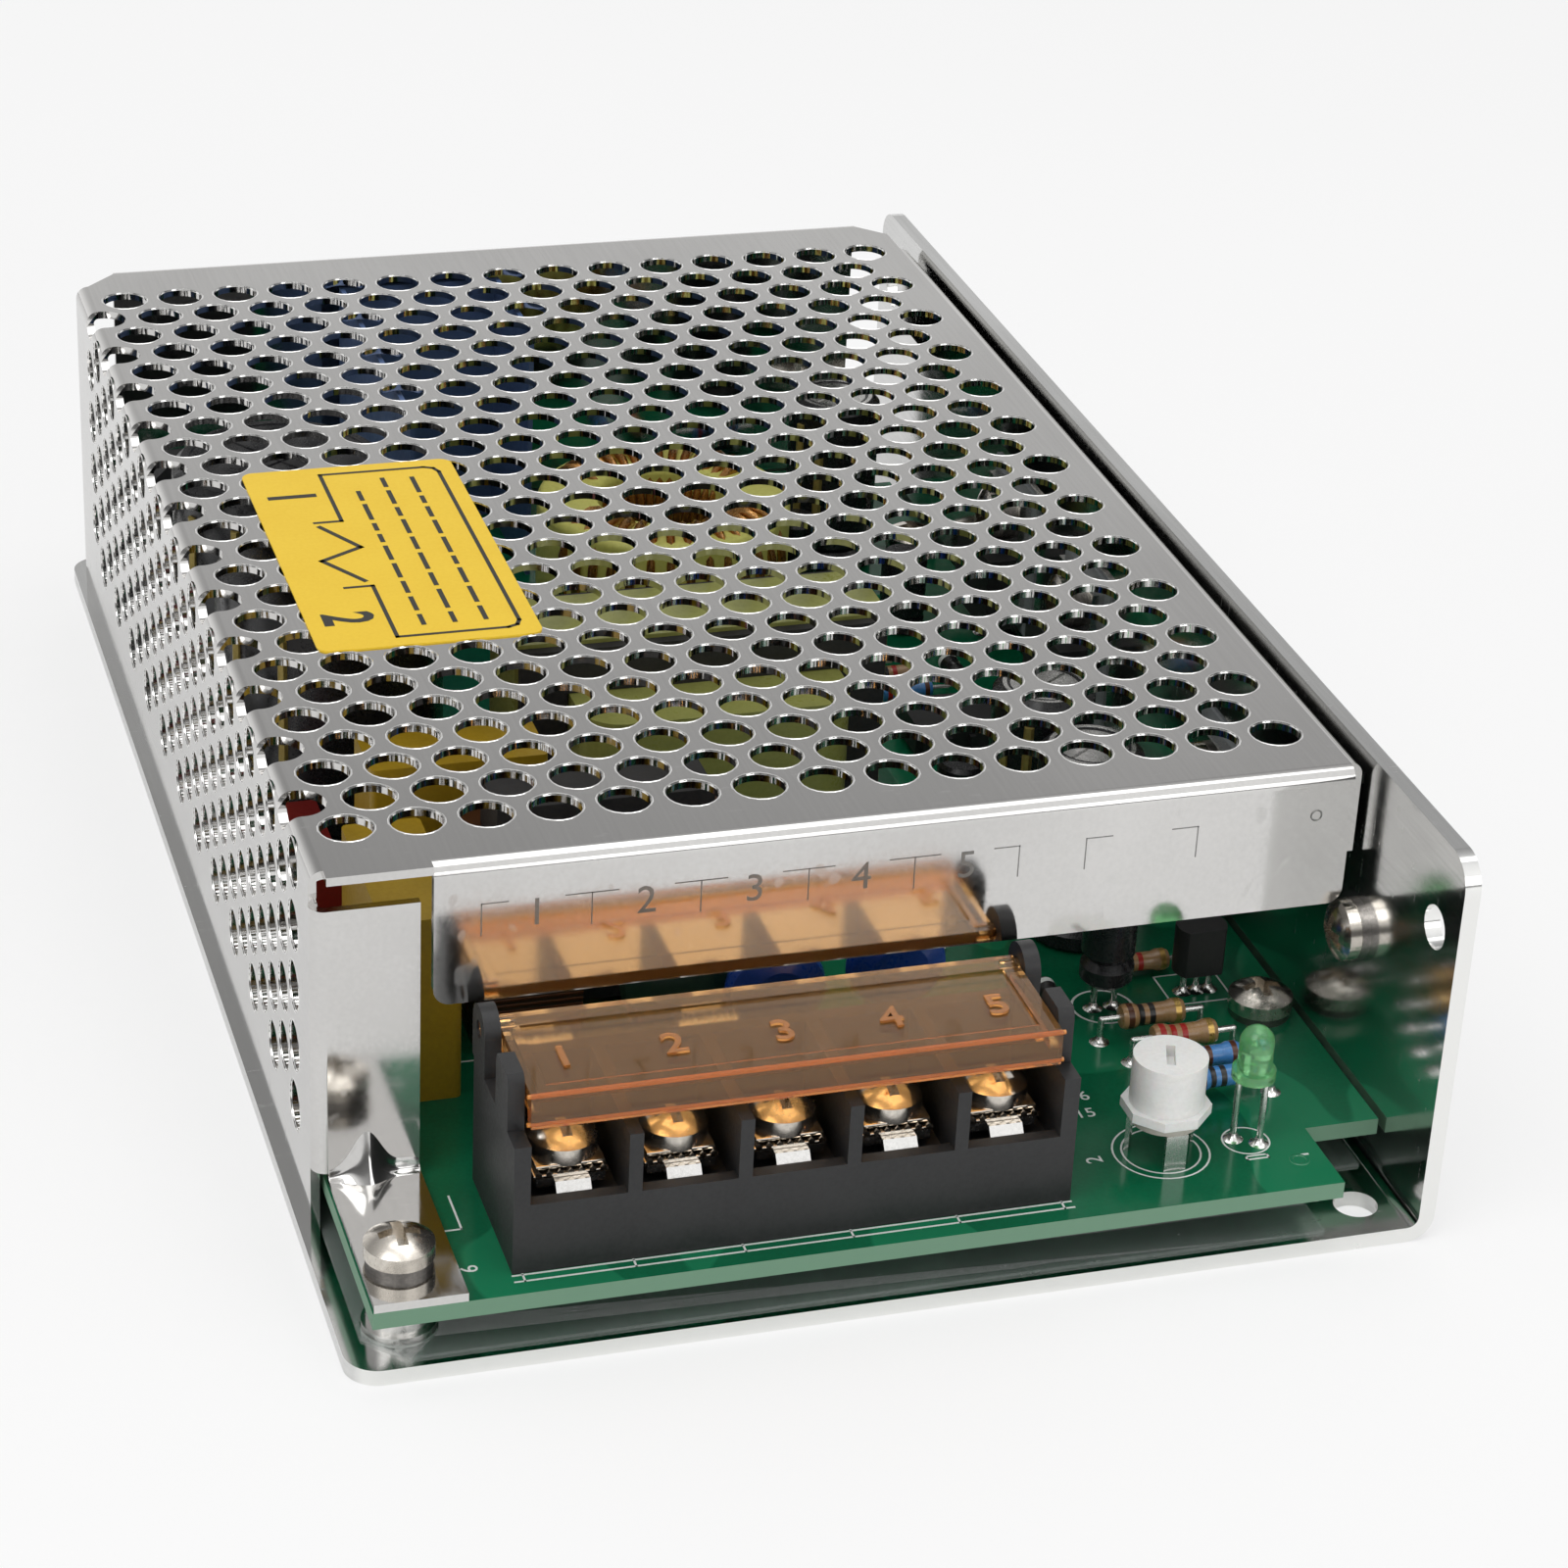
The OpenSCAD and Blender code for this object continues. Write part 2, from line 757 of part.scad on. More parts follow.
module trimmer_base() color("peru") {
    translate([knob_at[0], knob_at[1], knob_z - trimmer_t])
        difference() {
            cylinder(d = knob_d - 0.2, h = trimmer_t);
            translate([0, 0, -1])
                cylinder(r = 1 + run_clear, h = trimmer_t + 2);
        }
}

module trimmer_legs() color("silver") {
    translate([knob_at[0], knob_at[1], board_z])
        for (a = [-90, 150, 30])
            rotate(a)
                translate([knob_d / 2 - 0.5, -1, 0])
                    cube([0.4, 2, knob_z - trimmer_t - board_z]);
}

module trimmer_knob() color("white") {
    translate([knob_at[0], knob_at[1], knob_z + 0.05]) {
        difference() {
            union() {
                rotate(22.5)
                    cylinder(d = knob_d + 1.4, h = 0.9, $fn = 8);
                cylinder(d = knob_d, h = knob_h);
            }
            rotate(70)
                translate([-1.6, -0.4, knob_h - 1.1])
                    cube([3.2, 0.8, 2]);
        }
        translate([0, 0, -trimmer_t - 0.05])
            cylinder(r = 1, h = trimmer_t + 0.1);
    }
}

module status_lamp() color("limegreen") {
    translate([led_at[0], led_at[1], led_z]) {
        cylinder(d = 3.9, h = 0.9);
        cylinder(d = 3.1, h = 3.6);
        translate([0, 0, 3.6])
            sphere(d = 3.1);
    }
}

// A round wire leg from the board up to height z.
module leg(x, y, z) {
    translate([x, y, board_z])
        cylinder(d = leg_d, h = z - board_z);
}

// Height at which the legs of an upright disc of diameter d meet its edge.
function disc_foot(d) = disc_z - sqrt(pow(d / 2, 2) - pow(disc_leg - leg_d / 2, 2));

module component_legs() color("silver") {
    for (s = [-1, 1]) {
        leg(led_at[0] + 1.27 * s * 0.8, led_at[1] - 0.6 * s, led_z);
        leg(small_cap_at[0] + s, small_cap_at[1], small_z);
        for (p = discs_at)
            leg(p[0] + disc_leg * s, p[1], disc_foot(disc_d));
        leg(thermistor_at[0] + disc_leg * s, thermistor_at[1], disc_foot(thermistor_d));
    }
    for (i = [-1 : 1])
        leg(to92_at[0] + 1.27 * i, to92_at[1], small_z - 0.6);
    for (i = [-1.5 : 1.5])
        leg(bridge_at[0] + 4.8 * i, bridge_at[1], board_z + 3);
    for (y = devices_at, i = [-1 : 1])
        leg(x_wall - pad_t - tab_t - 1.4, y + 2.54 * i, device_z0 - 0.5);
}

// Body of an axial resistor along X, centred at the origin.
module axial_body(d, length) {
    translate([-length / 2, 0, 0])
        rotate([0, 90, 0])
            rotate_extrude()
                polygon([[0, 0], [d * 0.28, 0], [d / 2, 0.5], [d / 2, 1.3], [d * 0.42, 1.8],
                    [d * 0.42, length - 1.8], [d / 2, length - 1.3], [d / 2, length - 0.5],
                    [d * 0.28, length], [0, length]]);
}

module carbon_resistors() color("tan") {
    at_points(carbon_at, resistor_z)
        axial_body(2.4, resistor_l);
}

module film_resistors() color("steelblue") {
    at_points(film_at, resistor_z)
        axial_body(2.3, resistor_l - 0.2);
}

module resistor_leads() color("silver") {
    at_points(concat(carbon_at, film_at))
        for (m = [0, 1])
            mirror([m, 0, 0]) {
                translate([resistor_l / 2, 0, resistor_z])
                    rotate([0, 90, 0])
                        cylinder(d = leg_d, h = lead_span / 2 - resistor_l / 2);
                translate([lead_span / 2, 0, resistor_z])
                    sphere(d = leg_d);
                translate([lead_span / 2, 0, board_z])
                    cylinder(d = leg_d, h = resistor_z - board_z);
            }
}

module small_transistor() color("dimgray") {
    translate([to92_at[0], to92_at[1], small_z - 0.6])
        difference() {
            cylinder(d = 4.8, h = 4.8);
            translate([-5, -6.6, -1])
                cube([10, 5, 8]);
        }
}

// An upright can: sleeve with a rolled groove near its foot and a soft top edge.
module can(d, h) {
    rotate_extrude() {
        r = d / 2;
        polygon([[0, 0], [r - 0.5, 0], [r, 0.5], [r, 1.8], [r - 0.6, 2.5], [r, 3.2],
            [r, h - 0.8], [r - 0.8, h], [r - 1.6, h], [r - 1.8, h - 0.4], [0, h - 0.4]]);
    }
}

module small_capacitor() color("dimgray") {
    translate([small_cap_at[0], small_cap_at[1], small_z])
        can(5, 9);
}

module box_capacitors() color("gold") {
    for (b = boxes)
        translate([b[0], b[1], board_z])
            linear_extrude(b[4])
                soft_square(b[2], b[3], 0.6);
}

// A coated disc standing on edge, its middle at the origin.
module disc_body(d, t) {
    rotate([90, 0, 0])
        rotate_extrude()
            polygon([[0, -t / 2], [d * 0.28, -t / 2], [d / 2 - 0.3, -t * 0.28], [d / 2, 0],
                [d / 2 - 0.3, t * 0.28], [d * 0.28, t / 2], [0, t / 2]]);
}

module disc_capacitors() color("royalblue") {
    at_points(discs_at, disc_z)
        disc_body(disc_d, 3.4);
}

module thermistor() color("darkslategray") {
    at_points([thermistor_at], disc_z)
        disc_body(thermistor_d, 4.2);
}

module fuse_tube() color("lightcyan", 0.5) {
    translate([fuse_at[0] - fuse_l / 2, fuse_at[1], fuse_z])
        rotate([0, 90, 0])
            difference() {
                cylinder(d = fuse_d, h = fuse_l);
                translate([0, 0, -1])
                    cylinder(d = fuse_d - 1, h = fuse_l + 2);
            }
}

module fuse_caps() color("silver") {
    for (m = [0, 1])
        translate([fuse_at[0], fuse_at[1], fuse_z])
            mirror([m, 0, 0])
                translate([fuse_l / 2 - 2.7, 0, 0])
                    rotate([0, 90, 0])
                        difference() {
                            cylinder(d = fuse_d + 0.6, h = 5.4);
                            translate([0, 0, -1])
                                cylinder(d = fuse_d, h = 3.7);
                        }
}

module fuse_clips() color("silver") {
    for (s = [-fuse_l / 2 - 0.1, fuse_l / 2 + 0.1])
        along_x(fuse_at[0] + s - 1.8, fuse_at[0] + s + 1.8)
            translate([fuse_at[1], 0])
                difference() {
                    union() {
                        translate([0, fuse_z])
                            circle(d = fuse_d + 1.6);
                        translate([-1.6, board_z])
                            square([3.2, fuse_z - board_z]);
                    }
                    translate([0, fuse_z])
                        circle(d = fuse_d + 0.6);
                    translate([-2, fuse_z + 1.6])
                        square([4, 4]);
                }
}

module line_filter_core() color("dimgray") {
    translate([filter_at[0], filter_at[1], board_z + 2.4])
        difference() {
            translate([-10, -3.2, 0])
                cube([20, 6.4, 20.6]);
            translate([-5, -4, 4.6])
                cube([10, 8, 11.4]);
        }
}

module line_filter_coils() color("orangered") {
    translate([filter_at[0], filter_at[1], board_z])
        for (s = [-7.5, 7.5])
            translate([s, 0, 0])
                difference() {
                    union() {
                        translate([0, 0, 7.4])
                            cylinder(d = 9.2, h = 10.2);
                        for (z = [0, 17.6])
                            translate([-4.9, -6.5, z])
                                cube([9.8, 13, z == 0 ? 7.4 : 0.8]);
                    }
                    translate([-2.5, -3.2, 2.4])
                        cube([5, 6.4, 20]);
                    translate([-5.5, -3.2, -1 + 3.4])
                        cube([11, 6.4, 4.6]);
                }
}

module bulk_capacitors() color("dimgray") {
    at_points(bulk_at, board_z)
        can(bulk_d, bulk_h);
}

module output_capacitors() color("dimgray") {
    at_points(output_caps_at, board_z)
        can(10, 20);
}

module transformer_core() color("dimgray") {
    translate([trafo_at[0], trafo_at[1], board_z + bobbin_h])
        difference() {
            translate([-trafo_w / 2, -core_l / 2, 0])
                cube([trafo_w, core_l, trafo_h - bobbin_h - tape_t]);
            for (m = [0, 1])
                mirror([m, 0, 0])
                    translate([trafo_w / 2 - core_leg - window_w, -core_l, core_leg])
                        cube([window_w, 2 * core_l, trafo_h - bobbin_h - tape_t - 2 * core_leg]);
        }
}

module transformer_coil() color("khaki") {
    coil_x = trafo_w / 2 - core_leg - 0.2;
    leg_x = trafo_w / 2 - core_leg - window_w;
    translate([trafo_at[0], trafo_at[1], board_z + bobbin_h + core_leg + 0.1])
        linear_extrude(trafo_h - bobbin_h - tape_t - 2 * core_leg - 0.2)
            difference() {
                translate([-coil_x, -trafo_l / 2 + 0.5])
                    soft_square(2 * coil_x, trafo_l - 1, 4);
                square([2 * leg_x, core_l], center = true);
            }
}

module transformer_tape() color("khaki") {
    tape_l = trafo_l * 0.36;
    translate([trafo_at[0], trafo_at[1], board_z + bobbin_h])
        difference() {
            translate([-trafo_w / 2 - tape_t, -tape_l / 2, 0])
                cube([trafo_w + 2 * tape_t, tape_l, trafo_h - bobbin_h]);
            translate([-trafo_w / 2, -trafo_l, -1])
                cube([trafo_w, 2 * trafo_l, trafo_h - bobbin_h - tape_t + 1]);
        }
}

module transformer_bobbin() color("black") {
    translate([trafo_at[0], trafo_at[1], board_z]) {
        translate([-trafo_w / 2, -trafo_l / 2, 0])
            cube([trafo_w, trafo_l, bobbin_h]);
        for (m = [0, 1])
            mirror([0, m, 0])
                translate([-trafo_w / 2 + core_leg + 0.2, core_l / 2, bobbin_h - e])
                    cube([trafo_w - 2 * core_leg - 0.4, (trafo_l - core_l) / 2, core_leg + 0.1]);
    }
}

module choke_ring() color("gold") {
    translate([ring_at[0], ring_at[1], ring_z])
        rotate_extrude()
            translate([ring_bore / 2, 0])
                soft_square((ring_d - ring_bore) / 2, ring_h, 1);
}

module choke_winding() color("chocolate") {
    wire = 1.1;
    translate([ring_at[0], ring_at[1], ring_z])
        for (a = [20, 200])
            rotate(a)
                rotate_extrude(angle = 125)
                    difference() {
                        translate([ring_bore / 2 - wire, -wire])
                            soft_square((ring_d - ring_bore) / 2 + 2 * wire, ring_h + 2 * wire, 1.6);
                        translate([ring_bore / 2, 0])
                            soft_square((ring_d - ring_bore) / 2, ring_h, 1);
                    }
}

module choke_base() color("dimgray") {
    translate([ring_at[0], ring_at[1], board_z])
        cylinder(d = ring_d - 3, h = ring_z - 1.1 - board_z);
}

module bridge_rectifier() color("dimgray") {
    translate([bridge_at[0], bridge_at[1], board_z + 3])
        rotate([90, 0, 0])
            translate([0, 0, -1.9])
                linear_extrude(3.8)
                    difference() {
                        polygon([[-10, 0], [10, 0], [10, 14.6], [-7, 14.6], [-10, 11.6]]);
                        translate([0, 10])
                            circle(d = 3.3);
                    }
}

// A device's outline on the wall, seen along X: w wide, from z0 to z1, with its screw hole.
module on_wall(y, w, z0, z1, x, t) {
    difference() {
        span([x - t, y - w / 2, z0], [x, y + w / 2, z1]);
        translate([x - t - 1, y, device_z])
            rotate([0, 90, 0])
                cylinder(d = screw_d + 0.4, h = t + 2);
    }
}

module power_devices() color("dimgray") {
    for (y = devices_at)
        span([x_wall - pad_t - device_t, y - 5, device_z0 - 0.5],
            [x_wall - pad_t - tab_t, y + 5, device_z1 - 6.2]);
}

module device_tabs() color("silver") {
    for (y = devices_at)
        on_wall(y, 10, device_z0, device_z1, x_wall - pad_t, tab_t);
}

module device_pads() color("lightgray") {
    for (y = devices_at)
        on_wall(y, 13, device_z0 - 1.2, device_z1 + 1.4, x_wall, pad_t);
}

module insulation_shield() color("cornflowerblue") {
    translate([0, 0, board_z])
        linear_extrude(cov_z - cover_t - 0.6 - board_z) {
            translate([shield_x0, shield_y1 - shield_t])
                square([shield_x1 - shield_x0, shield_t]);
            translate([shield_x0, shield_y1 - shield_long])
                square([shield_t, shield_long]);
            translate([shield_x1 - shield_t, shield_y1 - shield_short])
                square([shield_t, shield_short]);
        }
}

module control_chips() color("dimgray") {
    for (c = chips)
        translate([c[0], c[1], board_z]) {
            translate([-c[2] / 2, -3.2, 0.8])
                cube([c[2], 6.4, 3.3]);
            for (s = [-1, 1], x = [-c[2] / 2 + 1 : 2.54 : c[2] / 2 - 0.5])
                translate([x - 0.3, s > 0 ? 3.2 - e : -3.8, 0])
                    cube([0.6, 0.6 + e, 2.6]);
        }
}

module selector_body() color("firebrick") {
    translate([selector_at[0], selector_at[1], board_z])
        difference() {
            translate([selector_t, -6.5, 0])
                cube([6.4, 13, 10]);
            // slot that the slider runs in
            translate([selector_t - 1, -4.2, selector_z - board_z - 1.6])
                cube([3.5, 8.4, 3.2]);
        }
}

module selector_slider() color("ivory") {
    slot_y0 = selector_at[1] - 4.2 + run_clear;
    translate([selector_at[0], slot_y0, selector_z - 1.6 + run_clear])
        difference() {
            cube([selector_t + 2.4, 8.4 - 2 * run_clear - selector_travel, 3.2 - 2 * run_clear]);
            // groove for a screwdriver
            translate([-1, 2.2, -1])
                cube([1.8, 1, 6]);
        }
}

chassis();
insulation_film();
standoffs();
circuit_board();
mesh_cover();
cover_label();
foot_screw();
board_screws();
spring_washers();
wall_screws();
terminal_block();
terminal_tongues();
terminal_plates();
terminal_screws();
terminal_cover();
trimmer_base();
trimmer_legs();
trimmer_knob();
status_lamp();
component_legs();
carbon_resistors();
film_resistors();
resistor_leads();
small_transistor();
small_capacitor();
box_capacitors();
disc_capacitors();
thermistor();
fuse_tube();
fuse_caps();
fuse_clips();
line_filter_core();
line_filter_coils();
bulk_capacitors();
output_capacitors();
transformer_core();
transformer_coil();
transformer_tape();
transformer_bobbin();
choke_ring();
choke_winding();
choke_base();
bridge_rectifier();
power_devices();
device_tabs();
device_pads();
insulation_shield();
control_chips();
selector_body();
selector_slider();
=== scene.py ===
"""Looks of an open frame power supply in a perforated case, laid out as an add-on."""

import json
import math
import random

import bpy
from mathutils import Matrix, Vector


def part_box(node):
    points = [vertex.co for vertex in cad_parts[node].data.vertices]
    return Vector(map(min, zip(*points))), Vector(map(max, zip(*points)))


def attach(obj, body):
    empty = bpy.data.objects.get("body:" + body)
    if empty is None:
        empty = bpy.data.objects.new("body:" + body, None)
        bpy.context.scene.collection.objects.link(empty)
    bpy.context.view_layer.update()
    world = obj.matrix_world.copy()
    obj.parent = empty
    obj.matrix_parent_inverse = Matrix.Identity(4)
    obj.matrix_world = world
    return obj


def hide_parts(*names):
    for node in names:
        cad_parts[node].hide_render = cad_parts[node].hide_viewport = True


bl_info = {
    "name": "Mesh Case Power Supply Looks",
    "version": (1, 0, 0),
    "blender": (4, 5, 0),
    "location": "View3D > Sidebar > Supply",
    "description": "Finishes, print, windings and small parts of a perforated case power supply",
    "category": "Object",
}

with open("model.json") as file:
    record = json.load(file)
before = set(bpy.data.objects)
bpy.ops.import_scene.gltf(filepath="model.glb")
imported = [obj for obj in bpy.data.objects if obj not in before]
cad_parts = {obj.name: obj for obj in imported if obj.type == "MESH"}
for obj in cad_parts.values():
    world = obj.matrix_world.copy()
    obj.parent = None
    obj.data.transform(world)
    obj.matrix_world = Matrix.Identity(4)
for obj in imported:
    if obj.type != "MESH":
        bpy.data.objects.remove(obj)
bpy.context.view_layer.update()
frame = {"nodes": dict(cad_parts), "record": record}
MM = 0.001
QUARTER_TURN = math.radians(90)
ORIGIN = Vector((0, 0, 0))
CASE, FLIP = "case", "flip_cover"


# ---------------------------------------------------------------- places

def low(node):
    """Lowest corner of a CAD node."""
    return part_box(node)[0]


def high(node):
    """Highest corner of a CAD node."""
    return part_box(node)[1]


def middle(node):
    """Middle of a CAD node's box."""
    return (low(node) + high(node)) / 2


def shells(node, keep=None):
    """Lowest and highest corners of each connected run of a CAD node's faces, along X then Y."""
    mesh = frame["nodes"][node].data
    keys = [tuple(round(c, 6) for c in v.co) for v in mesh.vertices]
    root = {}

    def find(key):
        root.setdefault(key, key)
        while root[key] != key:
            root[key] = root[root[key]]
            key = root[key]
        return key

    for face in mesh.polygons:
        if keep is None or keep(face):
            first, *others = (find(keys[i]) for i in face.vertices)
            for other in others:
                root[find(other)] = find(first)
    groups = {}
    for key in root:
        groups.setdefault(find(key), []).append(key)
    boxes = [[Vector(map(end, zip(*group))) for end in (min, max)] for group in groups.values()]
    return sorted(boxes, key=lambda box: (round(box[0].x, 5), round(box[0].y, 5)))


# ---------------------------------------------------------------- mesh helpers

def clear_selection():
    if bpy.context.object and bpy.context.object.mode != "OBJECT":
        bpy.ops.object.mode_set(mode="OBJECT")
    bpy.ops.object.select_all(action="DESELECT")


def pick(piece):
    clear_selection()
    piece.select_set(True)
    bpy.context.view_layer.objects.active = piece


def settle(piece, name, angle=35):
    """Puts the piece's place into its mesh, names it and smooths its soft edges."""
    pick(piece)
    bpy.ops.object.transform_apply(location=True, rotation=True, scale=True)
    bpy.ops.object.shade_smooth_by_angle(angle=math.radians(angle))
    piece.name = name
    piece.data.name = name
    return piece


def use_modifier(piece, kind, **values):
    pick(piece)
    modifier = piece.modifiers.new(kind.title(), kind)
    for key, value in values.items():
        setattr(modifier, key, value)
    bpy.ops.object.modifier_apply(modifier=modifier.name)


def block(name, corner_a, corner_b, bevel=0.1 * MM):
    """A box with softened edges between two corners."""
    clear_selection()
    bpy.ops.mesh.primitive_cube_add(size=1, location=(corner_a + corner_b) / 2)
    piece = bpy.context.object
    piece.scale = corner_b - corner_a
    bpy.ops.object.transform_apply(location=False, rotation=False, scale=True)
    if bevel:
        use_modifier(piece, "BEVEL", width=bevel, segments=2, limit_method="ANGLE")
    return settle(piece, name)


def rod(name, start, end, radius, sides=12):
    """A round bar from start to end."""
    clear_selection()
    along = end - start
    bpy.ops.mesh.primitive_cylinder_add(
        vertices=sides, radius=radius, depth=along.length, location=(start + end) / 2
    )
    piece = bpy.context.object
    piece.rotation_mode = "QUATERNION"
    piece.rotation_quaternion = along.to_track_quat("Z", "Y")
    return settle(piece, name)


def turned(name, foot, profile, sides=32, turn=None, solid=True):
    """A lathe form: a disc extruded up through (radius, height) steps, stood at foot.

    One that isn't solid is a band, open at both ends.
    """
    clear_selection()
    first = profile[0]
    bpy.ops.mesh.primitive_circle_add(
        vertices=sides, radius=first[0], fill_type="NGON", location=(0, 0, first[1])
    )
    piece = bpy.context.object
    bpy.ops.object.transform_apply(location=True, rotation=False, scale=False)
    bpy.ops.object.mode_set(mode="EDIT")
    bpy.ops.mesh.select_mode(type="FACE")
    bpy.ops.mesh.select_all(action="SELECT")
    radius, height = first
    for next_radius, next_height in profile[1:]:
        bpy.ops.mesh.extrude_region_move(
            TRANSFORM_OT_translate={"value": (0, 0, next_height - height)}
        )
        ratio = next_radius / radius
        bpy.ops.transform.resize(value=(ratio, ratio, 1), center_override=(0, 0, next_height))
        radius, height = next_radius, next_height
    bpy.ops.mesh.select_all(action="SELECT")
    bpy.ops.mesh.normals_make_consistent(inside=False)
    if not solid:
        bpy.ops.mesh.select_all(action="DESELECT")
        bpy.ops.object.mode_set(mode="OBJECT")
        for face in piece.data.polygons:
            face.select = len(face.vertices) > 4
        bpy.ops.object.mode_set(mode="EDIT")
        bpy.ops.mesh.delete(type="FACE")
    bpy.ops.object.mode_set(mode="OBJECT")
    if turn:
        piece.rotation_euler = turn
    piece.location = foot
    return settle(piece, name)


def ring(name, centre, radius, wire, turn=(0, 0, 0), sides=32, wire_sides=8, squash=None):
    """A torus, which squash scales before it is turned and placed."""
    clear_selection()
    bpy.ops.mesh.primitive_torus_add(
        major_radius=radius, minor_radius=wire, major_segments=sides, minor_segments=wire_sides
    )
    piece = bpy.context.object
    if squash:
        piece.scale = squash
        bpy.ops.object.transform_apply(location=False, rotation=False, scale=True)
    piece.rotation_euler = turn
    piece.location = centre
    return settle(piece, name, 60)


def joined(pieces, name):
    """Several pieces as one object."""
    clear_selection()
    for piece in pieces:
        piece.select_set(True)
    bpy.context.view_layer.objects.active = pieces[0]
    if len(pieces) > 1:
        bpy.ops.object.join()
    whole = bpy.context.object
    whole.name = name
    whole.data.name = name
    return whole


def copy_at(piece, name, shift):
    """A copy with its own mesh, moved by shift."""
    pick(piece)
    bpy.ops.object.duplicate(linked=False)
    twin = bpy.context.object
    twin.location = shift
    return settle(twin, name)


def scattered(piece, name, shifts):
    """Copies of a piece, each with its own mesh, moved by the shifts and joined."""
    twins = []
    for shift in shifts:
        twin = piece.copy()
        twin.data = piece.data.copy()
        twin.data.transform(Matrix.Translation(shift))
        bpy.context.collection.objects.link(twin)
        twins.append(twin)
    bpy.data.objects.remove(piece)
    return joined(twins, name)


def numeral(name, text, centre, height, depth, turn=(0, 0, 0), weight=0.0, narrow=1.0):
    """A plain number as a thin solid; weight thickens its strokes."""
    clear_selection()
    bpy.ops.object.text_add(location=(0, 0, 0))
    piece = bpy.context.object
    piece.data.body = text
    piece.data.size = height / 0.7
    piece.data.extrude = depth / 2
    piece.data.resolution_u = 3
    piece.data.offset = weight
    piece.data.align_x = "CENTER"
    piece.data.align_y = "CENTER"
    bpy.ops.object.convert(target="MESH")
    piece = bpy.context.object
    piece.scale = (narrow, 1, 1)
    bpy.ops.object.transform_apply(location=False, rotation=False, scale=True)
    piece.rotation_euler = turn
    piece.location = centre
    return settle(piece, name)


def finish(piece, look, body=CASE, stands_for=()):
    """Gives a modelled piece its material and body."""
    piece.data.materials.clear()
    piece.data.materials.append(FINISHES[look])
    place(piece, body, stands_for)


def place(piece, body=CASE, stands_for=()):
    """Body of a piece that already has its materials."""
    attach(piece, body)
    if stands_for:
        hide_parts(*stands_for)


# ---------------------------------------------------------------- shader groups

def put(tree, socket, value):
    """Links a socket into an input, or sets the input to a number, a vector or a colour."""
    if hasattr(value, "is_output"):
        tree.links.new(value, socket)
    elif socket.type == "RGBA":
        socket.default_value = (*value[:3], 1.0)
    else:
        socket.default_value = value


def feed(tree, node, **values):
    """Fills the inputs that the keys name, with _ for a space."""
    for label, value in values.items():
        put(tree, node.inputs[label.replace("_", " ")], value)


def add(tree, kind, **values):
    """A new shader node with its named inputs filled."""
    node = tree.nodes.new("ShaderNode" + kind)
    feed(tree, node, **values)
    return node


def noise(tree, spot, scale, detail=2.0, rough=0.5):
    """Noise on a scaled place: scale is in waves per metre, one value for each axis."""
    mapping = add(tree, "Mapping", Vector=spot, Scale=scale)
    return add(tree, "TexNoise", Vector=mapping.outputs["Vector"], Scale=1.0, Detail=detail,
               Roughness=rough).outputs["Fac"]


def remap(tree, value, from_low, from_high, to_low=0.0, to_high=1.0):
    """Stretches a value from one range to another; the new range may be sockets."""
    return add(tree, "MapRange", Value=value, From_Min=from_low, From_Max=from_high,
               To_Min=to_low, To_Max=to_high).outputs["Result"]


def blend_colour(tree, factor, first, second):
    """Mixes two colours, each a socket or a plain colour."""
    node = tree.nodes.new("ShaderNodeMix")
    node.data_type = "RGBA"
    feed(tree, node, Factor=factor)
    for label, colour in (("A", first), ("B", second)):
        put(tree, next(s for s in node.inputs if s.name == label and s.type == "RGBA"), colour)
    return next(s for s in node.outputs if s.type == "RGBA")


def math_node(tree, operation, first, second=0.0):
    """One step of arithmetic on sockets or plain numbers."""
    node = tree.nodes.new("ShaderNodeMath")
    node.operation = operation
    put(tree, node.inputs[0], first)
    put(tree, node.inputs[1], second)
    return node.outputs[0]


def weighted(tree, first, first_share, second, second_share):
    """The sum of two values, each times its share."""
    return math_node(tree, "ADD", math_node(tree, "MULTIPLY", first, first_share),
                     math_node(tree, "MULTIPLY", second, second_share))


def new_group(name, inputs, outputs):
    """A node group with named sockets; returns its tree, its input sockets and its output node."""
    tree = bpy.data.node_groups.new(name, "ShaderNodeTree")
    for way, sockets in (("INPUT", inputs), ("OUTPUT", outputs)):
        for label, kind in sockets.items():
            tree.interface.new_socket(name=label, in_out=way, socket_type="NodeSocket" + kind)
    return tree, tree.nodes.new("NodeGroupInput").outputs, tree.nodes.new("NodeGroupOutput")


def surface_group(name, first, second):
    """A group that blends two colours and two roughnesses, and gives a height for bump."""
    return new_group(
        name,
        {"Place": "Vector", first: "Color", second: "Color", "Smooth": "Float", "Rough": "Float"},
        {"Color": "Color", "Roughness": "Float", "Height": "Float"},
    )


def build_rolled_sheet():
    """Sheet metal: fine streaks along Y over slow smudges, with a few hair scratches."""
    tree, take, give = surface_group("rolled_sheet", "Bright", "Dull")
    streak = noise(tree, take["Place"], (2600, 90, 2600), 3.0)
    smudge = noise(tree, take["Place"], (38, 30, 45), 3.0, 0.6)
    grain = noise(tree, take["Place"], (900, 900, 900), 2.0)
    hair = noise(tree, take["Place"], (420, 2200, 300), 1.0)
    scratch = remap(tree, hair, 0.70, 0.74)
    tone = weighted(tree, streak, 0.35, smudge, 0.65)
    dull = remap(tree, tone, 0.36, 0.64)
    colour = blend_colour(tree, dull, take["Bright"], take["Dull"])
    rough = remap(tree, tone, 0.34, 0.66, take["Smooth"], take["Rough"])
    marked = math_node(tree, "ADD", rough, math_node(tree, "MULTIPLY", scratch, 0.12))
    feed(tree, give, Color=colour, Roughness=marked, Height=weighted(tree, streak, 0.6, grain, 0.4))
    return tree


